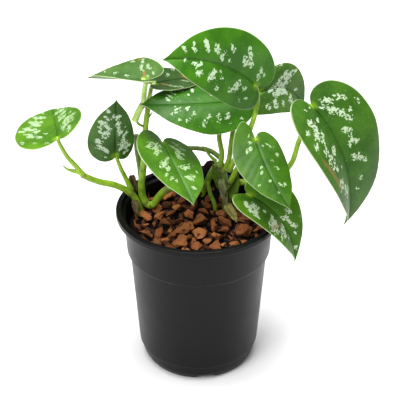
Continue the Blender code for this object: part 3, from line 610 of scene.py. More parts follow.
# Blade tints: colour at the middle, near the margin, and of the silver, how many stray specks, and
# how far the
# splashes are drawn out along the veins.
TINTS = {
    "spring": (rgb(76, 124, 5), rgb(84, 132, 8), rgb(156, 182, 136), 0.8, 1.30),
    "grey": (rgb(58, 98, 32), rgb(64, 104, 30), rgb(182, 202, 172), 0.5, 1.05),
    "moss": (rgb(74, 114, 42), rgb(80, 120, 40), rgb(190, 208, 180), 0.5, 1.05),
    "pale": (rgb(68, 104, 44), rgb(76, 112, 42), rgb(150, 172, 134), 0.5, 1.20),
    "fresh": (rgb(72, 120, 20), rgb(80, 130, 16), rgb(166, 192, 142), 0.8, 1.25),
    "clear": (rgb(58, 104, 14), rgb(64, 110, 12), rgb(160, 186, 136), 0.6, 1.10),
    "deep": (rgb(58, 114, 12), rgb(62, 120, 10), rgb(186, 210, 172), 0.6, 1.05),
    "muted": (rgb(58, 102, 22), rgb(62, 106, 20), rgb(180, 200, 164), 0.5, 1.05),
    "low": (rgb(70, 118, 20), rgb(78, 126, 16), rgb(200, 216, 184), 0.8, 1.15),
    # shade: a darker copy of the blade colours, silver included, as painted shade for the back-left blade in
    # the shadow of the blades above
    "shade": (rgb(48, 80, 24), rgb(52, 84, 24), rgb(134, 154, 118), 0.8, 1.20),
}


def blade_upper(tint):
    """Upper side of a blade: satin green with silver splashes, a fine pale margin, a soft bloom, and painted
    shade in the midrib groove and the vein furrows.
    """
    middle, margin_tint, silver, specks, drawn = TINTS[tint]
    mat, shader, main = new_material(f"blade_upper_{tint}", specular=0.28)
    flat = shader.flat_place("flat")
    seed = shader.value("seed")
    margin = shader.value("margin")
    mask = shader.group(SILVER_SPLASH, {"Flat": flat, "Seed": seed, "Splash": shader.value("splash"),
                                        "Margin": margin, "Specks": specks, "Drawn": drawn})["Mask"]
    relief = shader.group(BLADE_RELIEF, {"Flat": flat, "Seed": seed, "Silver": mask})
    cloud = shader.noise(shader.vector_math("ADD", flat, shader.join(0.0, 0.0, shader.times(seed, 57.0))),
                         0.06, 3.0, 0.55)
    green = shader.blend(shader.step(shader.plus(margin, shader.times(cloud, 0.5)), 0.55, 1.25),
                         middle, margin_tint)
    shade = shader.step(shader.plus(cloud, shader.times(relief["Cells"], 0.35)), 0.84, 0.50)
    deep = shader.blend(shade, green, (0.56, 0.66, 0.50, 1.0), "MULTIPLY")
    # Painted shade: the midrib groove darkened.
    ribbed = shader.blend(shader.times(relief["Midrib"], 0.34), deep, (0.5, 0.62, 0.5, 1.0), "MULTIPLY")
    # Painted shade in the furrows of the quilting, along the lateral veins.
    furrow_shaded = shader.blend(shader.times(relief["Furrow"], 0.13), ribbed, (0.62, 0.70, 0.6, 1.0), "MULTIPLY")
    splashed = shader.blend(shader.times(mask, 0.92), furrow_shaded, silver)
    x, y, _ = shader.split(flat)
    from_base = shader.math("SQRT", shader.plus(shader.times(x, x), shader.times(y, y)))
    joined = shader.blend(shader.step(from_base, 5.0, 1.0, 0.0, 0.85), splashed, rgb(112, 152, 22))
    edge = shader.step(margin, 0.975, 1.0, 0.0, 0.70)
    main_colour = shader.blend(edge, joined, rgb(188, 204, 154))
    brown = shader.blend(shader.value("scar"), main_colour, rgb(150, 104, 66))
    shader.put(main.inputs["Base Color"], brown)
    shader.put(main.inputs["Roughness"], shader.plus(0.40, shader.times(mask, 0.14)))
    shader.put(main.inputs["Normal"], bump(shader, relief["Height"], 0.7, 0.5 * MM))
    return mat


def blade_under(tint):
    """Underside of a blade: paler and duller, with raised veins."""
    middle, _, _, _, _ = TINTS[tint]
    mat, shader, main = new_material(f"blade_under_{tint}", roughness=0.6, specular=0.3)
    flat = shader.flat_place("flat")
    relief = shader.group(BLADE_RELIEF, {"Flat": flat, "Seed": shader.value("seed"), "Silver": 0.0})
    cloud = shader.noise(flat, 0.12, 3.0, 0.5)
    paler = shader.blend(0.45, middle, rgb(120, 152, 88))
    mottled = shader.blend(shader.step(cloud, 0.3, 0.8, 0.0, 0.35), paler, middle)
    ribbed = shader.blend(shader.times(relief["Midrib"], 0.7), mottled, rgb(160, 190, 110))
    shader.put(main.inputs["Base Color"], ribbed)
    raised = shader.times(relief["Height"], -1.0)
    shader.put(main.inputs["Normal"], bump(shader, raised, 0.5, 0.35 * MM))
    return mat


def blade_rim():
    """Translucent pale edge of a blade."""
    mat, shader, main = new_material("blade_rim", roughness=0.5)
    place = shader.object_place()
    wear = shader.noise(place, 220.0, 3.0)
    shader.put(main.inputs["Base Color"], shader.blend(wear, rgb(150, 172, 108), rgb(198, 210, 160)))
    return mat


# Stem tints: main colour, second colour of the streaks, and colour of the blotches.
STEM_TINTS = {
    "fresh": (rgb(126, 166, 30), rgb(156, 192, 56), rgb(102, 144, 24)),
    "old": (rgb(94, 126, 40), rgb(120, 146, 60), rgb(80, 92, 36)),
    "pale": (rgb(168, 200, 98), rgb(196, 220, 136), rgb(146, 184, 74)),
}


def stem_skin(tint):
    """Smooth stem or petiole with lengthwise fibres and browner nodes."""
    base, light, dark = STEM_TINTS[tint]
    mat, shader, main = new_material(f"stem_skin_{tint}", specular=0.4)
    skin = shader.flat_place("skin")
    grain = shader.group(FIBRE_GRAIN, {"Skin": skin, "Stretch": 0.12})
    streaked = shader.blend(shader.step(grain["Streaks"], 0.35, 0.7), base, light)
    blotched = shader.blend(shader.step(grain["Blotches"], 0.48, 0.72), streaked, dark)
    knotted = shader.blend(shader.times(shader.value("knot"), 0.65), blotched, rgb(112, 104, 62))
    shader.put(main.inputs["Base Color"], knotted)
    shader.put(main.inputs["Roughness"], shader.step(grain["Blotches"], 0.2, 0.8, 0.38, 0.56))
    shader.put(main.inputs["Normal"], bump(shader, grain["Streaks"], 0.35, 0.25 * MM))
    return mat


# Dry tints: main colour, colour of the dry patches, and of the veins.
DRY_TINTS = {
    "husk": (rgb(156, 166, 116), rgb(122, 112, 80), rgb(190, 196, 150)),
    "bark": (rgb(98, 84, 58), rgb(68, 54, 38), rgb(124, 112, 82)),
    "straw": (rgb(150, 150, 84), rgb(112, 92, 52), rgb(176, 176, 112)),
    "green": (rgb(92, 128, 34), rgb(84, 96, 36), rgb(128, 158, 70)),
}


def dry_skin(tint):
    """Papery sheath or dead leaf."""
    base, dark, light = DRY_TINTS[tint]
    mat, shader, main = new_material(f"dry_skin_{tint}", roughness=0.8, specular=0.2)
    flat = shader.flat_place("flat")
    grain = shader.group(FIBRE_GRAIN, {"Skin": flat, "Stretch": 0.2})
    patched = shader.blend(shader.step(grain["Blotches"], 0.35, 0.65), base, dark)
    shader.put(main.inputs["Base Color"], shader.blend(shader.step(grain["Streaks"], 0.5, 0.75),
                                                       patched, light))
    shader.put(main.inputs["Normal"], bump(shader, grain["Streaks"], 0.8, 0.5 * MM))
    return mat


def pot_plastic():
    """Satin black moulded plastic with a faint grain and a little dust."""
    mat, shader, main = new_material("pot_plastic", specular=0.13)
    place = shader.object_place()
    cloud = shader.noise(place, 38.0, 4.0, 0.6)
    pebble = shader.noise(place, 2600.0, 2.0, 0.5)
    dust = shader.noise(place, 700.0, 3.0, 0.7)
    body = shader.blend(shader.step(cloud, 0.3, 0.75), rgb(8, 8, 8), rgb(11, 11, 11))
    shader.put(main.inputs["Base Color"], shader.blend(shader.step(dust, 0.68, 0.8, 0.0, 0.05),
                                                       body, rgb(90, 88, 84)))
    shader.put(main.inputs["Roughness"], shader.step(cloud, 0.25, 0.8, 0.32, 0.44))
    shader.put(main.inputs["Normal"], bump(shader, pebble, 0.12, 0.1 * MM))
    return mat


def chip_bark(name, light, dark, grey):
    """Reddish-brown chips: each has its own tone, with painted shade darkening the pits, and pale dusty
    grains.
    """
    mat, shader, main = new_material(name, roughness=0.9, specular=0.18)
    place = shader.object_place()
    crumb = shader.group(CRUMB, {"Place": place, "Scale": 260.0})
    tone = shader.value("tone")
    base = shader.blend(tone, dark, light)
    # Painted shade: the low places of the crumb relief, the pits, darkened nearly to black.
    pits_shaded = shader.blend(shader.step(crumb["Coarse"], 0.5, 0.32), base, shader.blend(0.6, dark,
        (0.01, 0.005, 0.003, 1)))
    dusty = shader.blend(shader.step(crumb["Fine"], 0.56, 0.75, 0.0, 0.55), pits_shaded, grey)
    shader.put(main.inputs["Base Color"], dusty)
    shader.put(main.inputs["Normal"], bump(shader, crumb["Height"], 0.9, 1.0 * MM))
    return mat


def mix_soil():
    """Dark damp mix between the chips."""
    mat, shader, main = new_material("mix_soil", roughness=0.95, specular=0.15)
    place = shader.object_place()
    crumb = shader.group(CRUMB, {"Place": place, "Scale": 420.0})
    soil = shader.blend(shader.step(crumb["Coarse"], 0.40, 0.70), rgb(12, 8, 6), rgb(40, 24, 16))
    shader.put(main.inputs["Base Color"], soil)
    shader.put(main.inputs["Normal"], bump(shader, crumb["Height"], 1.0, 1.5 * MM))
    return mat


def floor_paint():
    """Plain pale studio floor."""
    mat, shader, main = new_material("floor_paint", roughness=0.85, specular=0.1)
    place = shader.object_place()
    faint = shader.noise(place, 9.0, 3.0)
    shader.put(main.inputs["Base Color"], shader.blend(faint, rgb(243, 243, 243), rgb(247, 247, 247)))
    return mat


# ---------------------------------------------------------------------------------------------- blades


def half_outline(lobe, belly):
    """Outline of half a blade, notch to tip: half widths across, lengths along."""
    points = []
    for across, along in HALF_OUTLINE:
        if along < 0:
            along = along * lobe
        else:
            along = along + belly * 4 * along * (1 - along)
        points.append((across, along, 0.0))
    return smooth_curve(points, BLADE_ROWS + 1)[:, :2]


def midrib_curve(arch):
    """Distance, height and slope along a midrib that arches by an angle, with its ends on one level."""
    along = np.linspace(-0.35, 1.0, 136)
    step = along[1] - along[0]
    slope = math.radians(arch) * (0.5 - np.clip(along, 0.0, 1.0))
    reach = np.cumsum(np.cos(slope)) * step
    rise = np.cumsum(np.sin(slope)) * step
    start = int(np.argmin(np.abs(along)))
    reach -= reach[start]
    rise -= rise[start]
    tilt = math.atan2(rise[-1], reach[-1])
    chord = math.hypot(rise[-1], reach[-1])
    level_reach = (reach * math.cos(tilt) + rise * math.sin(tilt)) / chord
    level_rise = (rise * math.cos(tilt) - reach * math.sin(tilt)) / chord
    return along, level_reach, level_rise, slope - tilt


def blade_axes(blade):
    """Base, unit vectors across, along and out of the face, and the length from base to tip."""
    base = Vector(blade["base"]) * MM
    tip = Vector(blade["tip"]) * MM
    along = (tip - base).normalized()
    face = Vector(blade["face"])
    out = (face - along * face.dot(along)).normalized()
    return base, along.cross(out), along, out, (tip - base).length


class BladeShape:
    """The middle surface of a blade."""

    def __init__(self, blade, seed):
        self.blade = blade
        self.seed = seed
        self.base, self.axis_x, self.axis_y, self.axis_z, self.length = blade_axes(blade)
        self.samples, self.reach, self.rise, self.slope = midrib_curve(blade["arch"])
        self.ruffle = blade.get("ruffle", BLADE_RUFFLE) * MM

    def half_width(self, side):
        return self.blade["width"] * MM / 2 * (1 + side * self.blade.get("skew", 0.0))

    def swell(self, side, across, along):
        """Small rise of the surface: quilting between veins, and a ruffle towards the margin."""
        flat_x = across * self.half_width(side)
        flat_y = along * self.length
        vein = (flat_y * math.sin(VEIN_ANGLE) - flat_x * math.cos(VEIN_ANGLE)) / (VEIN_SPACING * MM)
        place = Vector((side * across * 1.1 + self.seed, along * 2.2, self.seed * 3.7))
        wander = noise.noise(place)
        quilt = QUILT_HEIGHT * math.sin(2 * math.pi * (vein + wander)) * across * (1.2 - across)
        ruffle = self.ruffle * noise.noise(place * RUFFLE_PITCH) * across ** 2
        groove = -GROOVE_DEPTH * math.exp(-((flat_x / GROOVE_WIDTH) ** 2))
        return quilt + ruffle + groove

    def point(self, side, across, along):
        """A point of the surface. across is in half widths, along in lengths."""
        blade = self.blade
        fold = math.radians(blade["fold"])
        cup = math.radians(blade.get("cup", 0.0))
        twist = math.radians(blade.get("twist", 0.0)) * (along - 0.5)
        angle = fold - cup * across / 2
        x = side * across * self.half_width(side) * math.cos(angle)
        z = across * self.half_width(side) * math.sin(angle) + self.swell(side, across, along)
        x, z = x * math.cos(twist) - z * math.sin(twist), x * math.sin(twist) + z * math.cos(twist)
        x += blade.get("bow", 0.0) * MM * 4 * along * (1 - along)
        tilt = float(np.interp(along, self.samples, self.slope))
        y = float(np.interp(along, self.samples, self.reach)) * self.length - z * math.sin(tilt)
        z = float(np.interp(along, self.samples, self.rise)) * self.length + z * math.cos(tilt)
        return self.base + self.axis_x * x + self.axis_y * y + self.axis_z * z


def splash_strength(blade, side, across, along, length):
    """How deep a place lies in the splashes: 1 in the middle of one, 0 away from them all."""
    gap = 1.0
    reach = SPLASH_REACH * blade.get("silver", 1.0)
    x = side * across * blade["width"] / 2
    y = along * length / MM
    for splash_x, splash_y, size in blade.get("splashes", ()):
        dx = x - splash_x * blade["width"] / 2
        dy = y - splash_y * length / MM
        outward = dx * (1 if splash_x > 0 else -1)
        lengthwise = outward * math.sin(VEIN_ANGLE) + dy * math.cos(VEIN_ANGLE)
        crosswise = dy * math.sin(VEIN_ANGLE) - outward * math.cos(VEIN_ANGLE)
        distance = math.hypot(lengthwise / SPLASH_LENGTHWISE, crosswise / SPLASH_CROSSWISE) / (size * reach)
        gap *= 1 - max(0.0, 1 - distance ** 2) ** 2
    return 1 - gap


def scar_strength(blade, side, across, along, length):
    """1 on the line of a dry scar, 0 away from it."""
    width = blade["width"] / 2
    here = Vector((side * across * width, along * length / MM))
    nearest = FAR_AWAY
    for line in blade.get("scars", ()):
        for start, end in zip(line, line[1:]):
            a = Vector((start[0] * width, start[1] * length / MM))
            b = Vector((end[0] * width, end[1] * length / MM))
            part = max(0.0, min(1.0, (here - a).dot(b - a) / (b - a).length_squared))
            nearest = min(nearest, (here - (a + (b - a) * part)).length)
    return max(0.0, 1.0 - nearest / SCAR_WIDTH)


def build_blade(name, blade, seed, upper, under, rim):
    """A thin blade with rows from notch to tip, each from the left margin over the midrib to the right."""
    shape = BladeShape(blade, seed)
    outlines = {}
    for side in (-1, 1):
        lobe = blade["lobe"] * (1 + side * blade.get("lobe_skew", 0.0))
        outlines[side] = half_outline(lobe, blade.get("belly", 0.0))
    bm = bmesh.new()
    uv_layer = bm.loops.layers.uv.new("flat")
    facts = []

    def vertex(side, across, along, part):
        flat = (side * across * blade["width"] * MM / 2, along * shape.length)
        splash = splash_strength(blade, side, across, along, shape.length)
        scar = scar_strength(blade, side, across, along, shape.length)
        facts.append((flat, part, splash, scar))
        return bm.verts.new(shape.point(side, across, along))

    first = vertex(1, 0.0, 0.0, 0.2)
    rows = []
    for k in range(1, BLADE_ROWS):
        rib = (k / BLADE_ROWS) ** RIB_SPREAD
        row = []
        for column in range(-BLADE_COLUMNS, BLADE_COLUMNS + 1):
            part = abs(column) / BLADE_COLUMNS
            side = -1 if column < 0 else 1
            edge_across, edge_along = outlines[side][k]
            row.append(vertex(side, edge_across * part, rib + (edge_along - rib) * part, part))
        rows.append(row)
    last = vertex(1, 0.0, 1.0, 1.0)
    for here, there in zip(rows, rows[1:]):
        for c in range(len(here) - 1):
            bm.faces.new((here[c], here[c + 1], there[c + 1], there[c]))
    for c in range(len(rows[0]) - 1):
        bm.faces.new((first, rows[0][c + 1], rows[0][c]))
        bm.faces.new((last, rows[-1][c], rows[-1][c + 1]))
    bm.verts.index_update()
    for face in bm.faces:
        for loop in face.loops:
            loop[uv_layer].uv = facts[loop.vert.index][0]
    bmesh.ops.recalc_face_normals(bm, faces=bm.faces)
    bm.faces.ensure_lookup_table()
    if bm.faces[len(bm.faces) // 2].normal.dot(shape.axis_z) < 0:
        bmesh.ops.reverse_faces(bm, faces=bm.faces)
    mesh = bpy.data.meshes.new(f"{name}_surface")
    bm.to_mesh(mesh)
    bm.free()
    point_values(mesh, "margin", [fact[1] for fact in facts])
    point_values(mesh, "splash", [fact[2] for fact in facts])
    point_values(mesh, "scar", [fact[3] for fact in facts])
    point_values(mesh, "seed", [seed] * len(facts))
    obj = add_piece(f"{name}_surface", mesh, [upper, under, rim], node_of(name))
    body = obj.modifiers.new("thickness", "SOLIDIFY")
    body.thickness = BLADE_THICKNESS
    body.offset = 0.0
    body.use_even_offset = False
    body.material_offset = 1
    body.material_offset_rim = 2
    return obj


def build_blades():
    uppers = {tint: blade_upper(tint) for tint in TINTS}
    unders = {tint: blade_under(tint) for tint in TINTS}
    rim = blade_rim()
    for k, (name, blade) in enumerate(BLADES.items()):
        tint = blade["tint"]
        build_blade(name, blade, 0.37 + 1.13 * k, uppers[tint], unders[tint], rim)
    dry = {tint: dry_skin(tint) for tint in DRY_TINTS}
    for k, (name, scale) in enumerate(SCALES.items()):
        mat = dry[scale["tint"]]
        build_blade(name, {**scale, "ruffle": DRY_RUFFLE}, 20.5 + k, mat, mat, mat)


# ---------------------------------------------------------------------------------------------- stems


TUBE_SIDES = 20
TUBE_STEP = 0.9 * MM  # between a tube's rings
KNOT_REACH = 1.6 * MM
KNOT_SWELL = 0.12
SKIN_WOBBLE = 0.05
WOBBLE_LENGTH = 6 * MM
NAME_SEED = 0.13


def build_tube(name, route, radius_a, radius_b, knots, mat):
    """A stem swept along a smooth route, swollen at its nodes. Both ends are closed."""
    length = float(np.linalg.norm(np.diff(np.asarray(route), axis=0), axis=1).sum())
    count = max(12, round(length / TUBE_STEP) + 1)
    centres = smooth_curve(route, count)
    directions = np.gradient(centres, axis=0)
    side = Vector((0.31, 0.92, 0.23))
    bm = bmesh.new()
    uv_layer = bm.loops.layers.uv.new("skin")
    rings, knot_values = [], []
    seed = sum(ord(letter) for letter in name) * NAME_SEED
    for k in range(count):
        part = k / (count - 1)
        forward = Vector(directions[k]).normalized()
        side = (side - forward * side.dot(forward)).normalized()
        other = forward.cross(side)
        knot = max([math.exp(-(((part - at) * length / KNOT_REACH) ** 2)) for at in knots] or [0.0])
        radius = (radius_a + (radius_b - radius_a) * part) * (1 + KNOT_SWELL * knot)
        ring = []
        for s in range(TUBE_SIDES):
            angle = 2 * math.pi * s / TUBE_SIDES
            direction = math.cos(angle) * side + math.sin(angle) * other
            skin_place = direction * 1.4 + Vector((seed, part * length / WOBBLE_LENGTH, 0.0))
            wobble = 1 + SKIN_WOBBLE * noise.noise(skin_place)
            ring.append(bm.verts.new(Vector(centres[k]) + direction * radius * wobble))
            knot_values.append(knot)
        rings.append(ring)
    for k, (lower, upper) in enumerate(zip(rings, rings[1:])):
        for s in range(TUBE_SIDES):
            n = (s + 1) % TUBE_SIDES
            face = bm.faces.new((lower[s], lower[n], upper[n], upper[s]))
            around = 2 * math.pi * radius_a / TUBE_SIDES
            step = length / (count - 1)
            corners = ((s, k), (s + 1, k), (s + 1, k + 1), (s, k + 1))
            for loop, (turn, row) in zip(face.loops, corners):
                loop[uv_layer].uv = (turn * around + seed * MM * 10, row * step)
    for ring in (rings[0][::-1], rings[-1]):
        face = bm.faces.new(ring)
        for loop in face.loops:
            loop[uv_layer].uv = (loop.vert.co.x, loop.vert.co.y)
    mesh = mesh_from(f"{name}_surface", bm)
    point_values(mesh, "knot", knot_values)
    return add_piece(f"{name}_surface", mesh, [mat], node_of(name), smooth_angle=60)


PETIOLE_ROOT = 2.0 * MM  # how far a petiole reaches into its stem


def petiole_route(name):
    """The petiole's route, from inside its stem to inside the blade where its midrib starts."""
    leaf, route, _, _ = PETIOLES[name]
    base, _, along, out, _ = blade_axes(BLADES[leaf])
    under = base - out * 1.6 * MM - along * 0.5 * MM
    first, second = (Vector(point) for point in in_metres(route)[:2])
    inside = first + (first - second).normalized() * PETIOLE_ROOT
    return [tuple(inside)] + in_metres(route) + [tuple(under),
                                                 tuple(base - out * 0.3 * MM + along * 2.0 * MM)]


def build_stems():
    skins = {tint: stem_skin(tint) for tint in STEM_TINTS}
    for name, (route, radius_a, radius_b, knots, tint) in STEMS.items():
        build_tube(name, in_metres(route), radius_a * MM, radius_b * MM, knots, skins[tint])
    for name, (_, _, radius_a, radius_b) in PETIOLES.items():
        skin = skins[PETIOLE_TINTS.get(name, "fresh")]
        build_tube(name, petiole_route(name), radius_a * MM, radius_b * MM, (0.02,), skin)


# ---------------------------------------------------------------------------------------------- pot

LIP_WIDTH = 4.0 * MM
LIP_DEPTH = 4.6 * MM
COLLAR_TOP_RADIUS = 54.6 * MM
COLLAR_FOOT_RADIUS = 52.8 * MM
COLLAR_FOOT_HEIGHT = 93.9 * MM
BODY_TOP_RADIUS = 50.6 * MM
BODY_FOOT_RADIUS = 45.2 * MM
FOOT_RING_HEIGHT = 13.5 * MM
FOOT_RING_STEP = 1.2 * MM
FOOT_RADIUS = 39.4 * MM
POT_WALL = 1.5 * MM
BASE_HEIGHT = 5.0 * MM
NOTCH_COUNT = 5
NOTCH_WIDTH = 12.0 * MM
NOTCH_FLARE = 3.5 * MM
NOTCH_DEPTH = 14.0 * MM
NOTCH_HEIGHT = 5.2 * MM
NOTCH_START = -82.5
DRAIN_COUNT = 6
DRAIN_RADIUS = 4.0 * MM
DRAIN_RING = 24.0 * MM
DRAIN_START = 33.0
POT_SEGMENTS = 180


def rounded_profile(corners, steps=5):
    """A closed profile whose corners (radius, height, rounding) are turned into arcs."""
    points = []
    count = len(corners)
    for k, (x, y, rounding) in enumerate(corners):
        here = Vector((x, y))
        if rounding <= 0:
            points.append(here)
            continue
        before = Vector(corners[k - 1][:2])
        after = Vector(corners[(k + 1) % count][:2])
        start = here + (before - here).normalized() * rounding
        end = here + (after - here).normalized() * rounding
        for s in range(steps + 1):
            t = s / steps
            points.append(start * (1 - t) ** 2 + here * 2 * t * (1 - t) + end * t ** 2)
    return [(p.x, p.y) for p in points]


def pot_corners():
    inner = RIM_RADIUS - LIP_WIDTH
    ledge = COLLAR_FOOT_HEIGHT
    return [
        (0.0, BASE_HEIGHT + POT_WALL, 0),
        (FOOT_RADIUS, BASE_HEIGHT + POT_WALL, 1.5 * MM),
        (BODY_FOOT_RADIUS - FOOT_RING_STEP - POT_WALL, FOOT_RING_HEIGHT - 1.0 * MM, 0.6 * MM),
        (BODY_FOOT_RADIUS - POT_WALL, FOOT_RING_HEIGHT + 1.0 * MM, 0.6 * MM),
        (BODY_TOP_RADIUS - POT_WALL, ledge - 2.2 * MM, 0.8 * MM),
        (COLLAR_FOOT_RADIUS - POT_WALL, ledge + 0.6 * MM, 0.8 * MM),
        (COLLAR_TOP_RADIUS - POT_WALL, POT_HEIGHT - LIP_DEPTH, 1.0 * MM),
        (inner, POT_HEIGHT - LIP_DEPTH + 1.6 * MM, 0.6 * MM),
        (inner, POT_HEIGHT, 0.7 * MM),
        (RIM_RADIUS, POT_HEIGHT, 0.9 * MM),
        (RIM_RADIUS, POT_HEIGHT - LIP_DEPTH, 0.8 * MM),
        (COLLAR_TOP_RADIUS, POT_HEIGHT - LIP_DEPTH - 0.4 * MM, 0.9 * MM),
        (COLLAR_FOOT_RADIUS, ledge, 1.0 * MM),
        (BODY_TOP_RADIUS, ledge - 1.6 * MM, 0.7 * MM),
        (BODY_FOOT_RADIUS, FOOT_RING_HEIGHT, 0.5 * MM),
        (BODY_FOOT_RADIUS - FOOT_RING_STEP, FOOT_RING_HEIGHT - 0.8 * MM, 0.4 * MM),
        (FOOT_RADIUS + 3.3 * MM, 4.5 * MM, 2.6 * MM),
        (FOOT_RADIUS + 0.4 * MM, 0.0, 0.8 * MM),
        (FOOT_RADIUS - 1.1 * MM, 0.0, 0.3 * MM),
        (FOOT_RADIUS + 1.6 * MM, BASE_HEIGHT, 0.6 * MM),
        (0.0, BASE_HEIGHT, 0),
    ]


def lathe(profile, segments):
    """Turns a profile of (radius, height) about Z. Points on the axis become single vertices."""
    bm = bmesh.new()
    rings = []
    for radius, height in profile:
        if radius < 1e-6:
            rings.append([bm.verts.new((0.0, 0.0, height))] * segments)
            continue
        rings.append([bm.verts.new(point) for point in circle(radius, height, segments)])
    for lower, upper in zip(rings, rings[1:]):
        for k in range(segments):
            n = (k + 1) % segments
            corners = list(dict.fromkeys([lower[k], lower[n], upper[n], upper[k]]))
            if len(corners) > 2:
                bm.faces.new(corners)
    return bm


def cut_with(obj, bm, location, angle):
    """Cuts a shape out of an object and removes the cutter."""
    cutter = bpy.data.objects.new("cutter", mesh_from("cutter", bm))
    bpy.context.scene.collection.objects.link(cutter)
    cutter.location = location
    cutter.rotation_euler = (0.0, 0.0, angle)
    mod = obj.modifiers.new("cut", "BOOLEAN")
    mod.operation = "DIFFERENCE"
    mod.solver = "EXACT"
    mod.object = cutter
    bpy.context.view_layer.update()
    depsgraph = bpy.context.evaluated_depsgraph_get()
    result = bpy.data.meshes.new_from_object(obj.evaluated_get(depsgraph))
    obj.modifiers.remove(mod)
    obj.data = result
    bpy.data.objects.remove(cutter, do_unlink=True)


def build_pot():
    bm = lathe(rounded_profile(pot_corners()), POT_SEGMENTS)
    pot = add_piece("pot_shell", mesh_from("pot_shell", bm), [pot_plastic()], "pot", smooth_angle=40)
    for k in range(NOTCH_COUNT):
        angle = math.radians(NOTCH_START) + 2 * math.pi * k / NOTCH_COUNT
        block = bmesh.new()
        bmesh.ops.create_cube(block, size=1.0)
        bmesh.ops.scale(block, vec=(NOTCH_DEPTH, NOTCH_WIDTH, 2 * NOTCH_HEIGHT), verts=block.verts)
        for vert in block.verts:
            if vert.co.z < 0:
                vert.co.y += math.copysign(NOTCH_FLARE, vert.co.y)
        upright = [e for e in block.edges if abs((e.verts[0].co - e.verts[1].co).x) > NOTCH_DEPTH / 2]
        bmesh.ops.bevel(block, geom=upright, offset=0.9 * MM, segments=3, affect="EDGES")
        cut_with(pot, block, (FOOT_RADIUS * math.cos(angle), FOOT_RADIUS * math.sin(angle), 0.0), angle)
    for k in range(DRAIN_COUNT):
        angle = math.radians(DRAIN_START) + 2 * math.pi * k / DRAIN_COUNT
        drill = bmesh.new()
        bmesh.ops.create_cone(drill, cap_ends=True, segments=32, radius1=DRAIN_RADIUS, radius2=DRAIN_RADIUS,
                              depth=4 * POT_WALL)
        cut_with(pot, drill, (DRAIN_RING * math.cos(angle), DRAIN_RING * math.sin(angle),
                              BASE_HEIGHT), angle)
    pot.data.set_sharp_from_angle(angle=math.radians(40))


# ------------------------------------------------------------------------------------ mix and chips

MIX_LEVEL = 111.5 * MM
MOUND_CENTRE = (9.0 * MM, 43.0 * MM)
MOUND_HEIGHT = 29.0 * MM
MOUND_SPREAD = 10.5 * MM
MIX_SPOKES = 96
MIX_RINGS = 30
LUMP_HEIGHT = 1.6 * MM
LUMP_PITCH = 210.0  # lumps of the mix, per metre
CHIP_RADIUS = 49.0 * MM
CHIP_LIMIT = 51.2 * MM
# Chips by size: smallest, largest, how many are tried.
TOP_CHIPS = [(15.0 * MM, 18.5 * MM, 12), (11.5 * MM, 14.5 * MM, 46), (8.0 * MM, 11.0 * MM, 80),
             (5.0 * MM, 7.5 * MM, 160)]
LOWER_CHIPS = [(8.0 * MM, 12.0 * MM, 60), (5.0 * MM, 8.0 * MM, 90)]


def mix_height(x, y):
    away = math.hypot(x - MOUND_CENTRE[0], y - MOUND_CENTRE[1]) / MOUND_SPREAD
    return MIX_LEVEL + MOUND_HEIGHT * math.exp(-away ** 3)


def build_mix():
    """The mix's surface between the chips, carried down inside the pot."""
    top_radius = COLLAR_FOOT_RADIUS - POT_WALL - 0.2 * MM
    bm = bmesh.new()
    loops = []
    for radius, height in ((FOOT_RADIUS - 1.0 * MM, BASE_HEIGHT + POT_WALL + 0.5 * MM),
                           (BODY_FOOT_RADIUS - 3.4 * MM, FOOT_RING_HEIGHT),
                           (BODY_TOP_RADIUS - 2.4 * MM, COLLAR_FOOT_HEIGHT - 4.0 * MM)):
        loops.append([bm.verts.new(point) for point in circle(radius, height, MIX_SPOKES)])
    for r in range(MIX_RINGS):
        loop = []
        for x, y, _ in circle(top_radius * (1 - r / MIX_RINGS), 0.0, MIX_SPOKES):
            lump = LUMP_HEIGHT * noise.fractal(Vector((x, y, 0.0)) * LUMP_PITCH, 1.0, 2.0, 4)
            loop.append(bm.verts.new((x, y, mix_height(x, y) + lump)))
        loops.append(loop)
    for lower, upper in zip(loops, loops[1:]):
        for k in range(MIX_SPOKES):
            n = (k + 1) % MIX_SPOKES
            bm.faces.new((lower[k], lower[n], upper[n], upper[k]))
    bm.faces.new(loops[0][::-1])
    bm.faces.new(loops[-1])
    add_piece("mix_surface", mesh_from("mix_surface", bm), [mix_soil()], "potting_mix")


def broken_chip(rng, size, detail):
    """One chip: the hull of a few points on a flat lump, with worn edges and a rough skin."""
    bm = bmesh.new()
    stretch = Vector((rng.uniform(0.85, 1.25), rng.uniform(0.55, 0.95), rng.uniform(0.34, 0.62)))
    for _ in range(rng.randint(8, 13)):
        direction = Vector((rng.gauss(0, 1), rng.gauss(0, 1), rng.gauss(0, 1))).normalized()
        reach = rng.uniform(0.86, 1.0)
        bm.verts.new([direction[axis] * stretch[axis] * reach * size / 2 for axis in range(3)])
    bmesh.ops.convex_hull(bm, input=bm.verts)
    loose = [vert for vert in bm.verts if not vert.link_faces]
    bmesh.ops.delete(bm, geom=loose, context="VERTS")
    bmesh.ops.bevel(bm, geom=bm.edges[:], offset=0.025 * size, segments=1, affect="EDGES")
    bmesh.ops.triangulate(bm, faces=bm.faces[:])
    bmesh.ops.subdivide_edges(bm, edges=bm.edges[:], cuts=detail, use_grid_fill=True)
    offset = Vector((rng.uniform(0, 50), rng.uniform(0, 50), rng.uniform(0, 50)))
    for vert in bm.verts:
        rough = noise.fractal(vert.co * 380 + offset, 0.7, 2.3, 5)
        vert.co *= 1 + 0.20 * rough
    return bm


def scatter(sizes, radius, rng, taken, crowding):
    """Places on a disc, biggest chips first, with little overlap between neighbours."""
    for low, high, count in sizes:
        for _ in range(count):
            size = rng.uniform(low, high)
            for _ in range(250):
                reach = (radius - size * 0.35) * math.sqrt(rng.random())
                angle = rng.uniform(0, 2 * math.pi)
                x, y = reach * math.cos(angle), reach * math.sin(angle)
                if math.hypot(x - MOUND_CENTRE[0], y - MOUND_CENTRE[1]) < MOUND_SPREAD:
                    continue
                if all(math.hypot(x - u, y - v) > crowding * (size + other) for u, v, other in taken):
                    taken.append((x, y, size))
                    break
    return taken


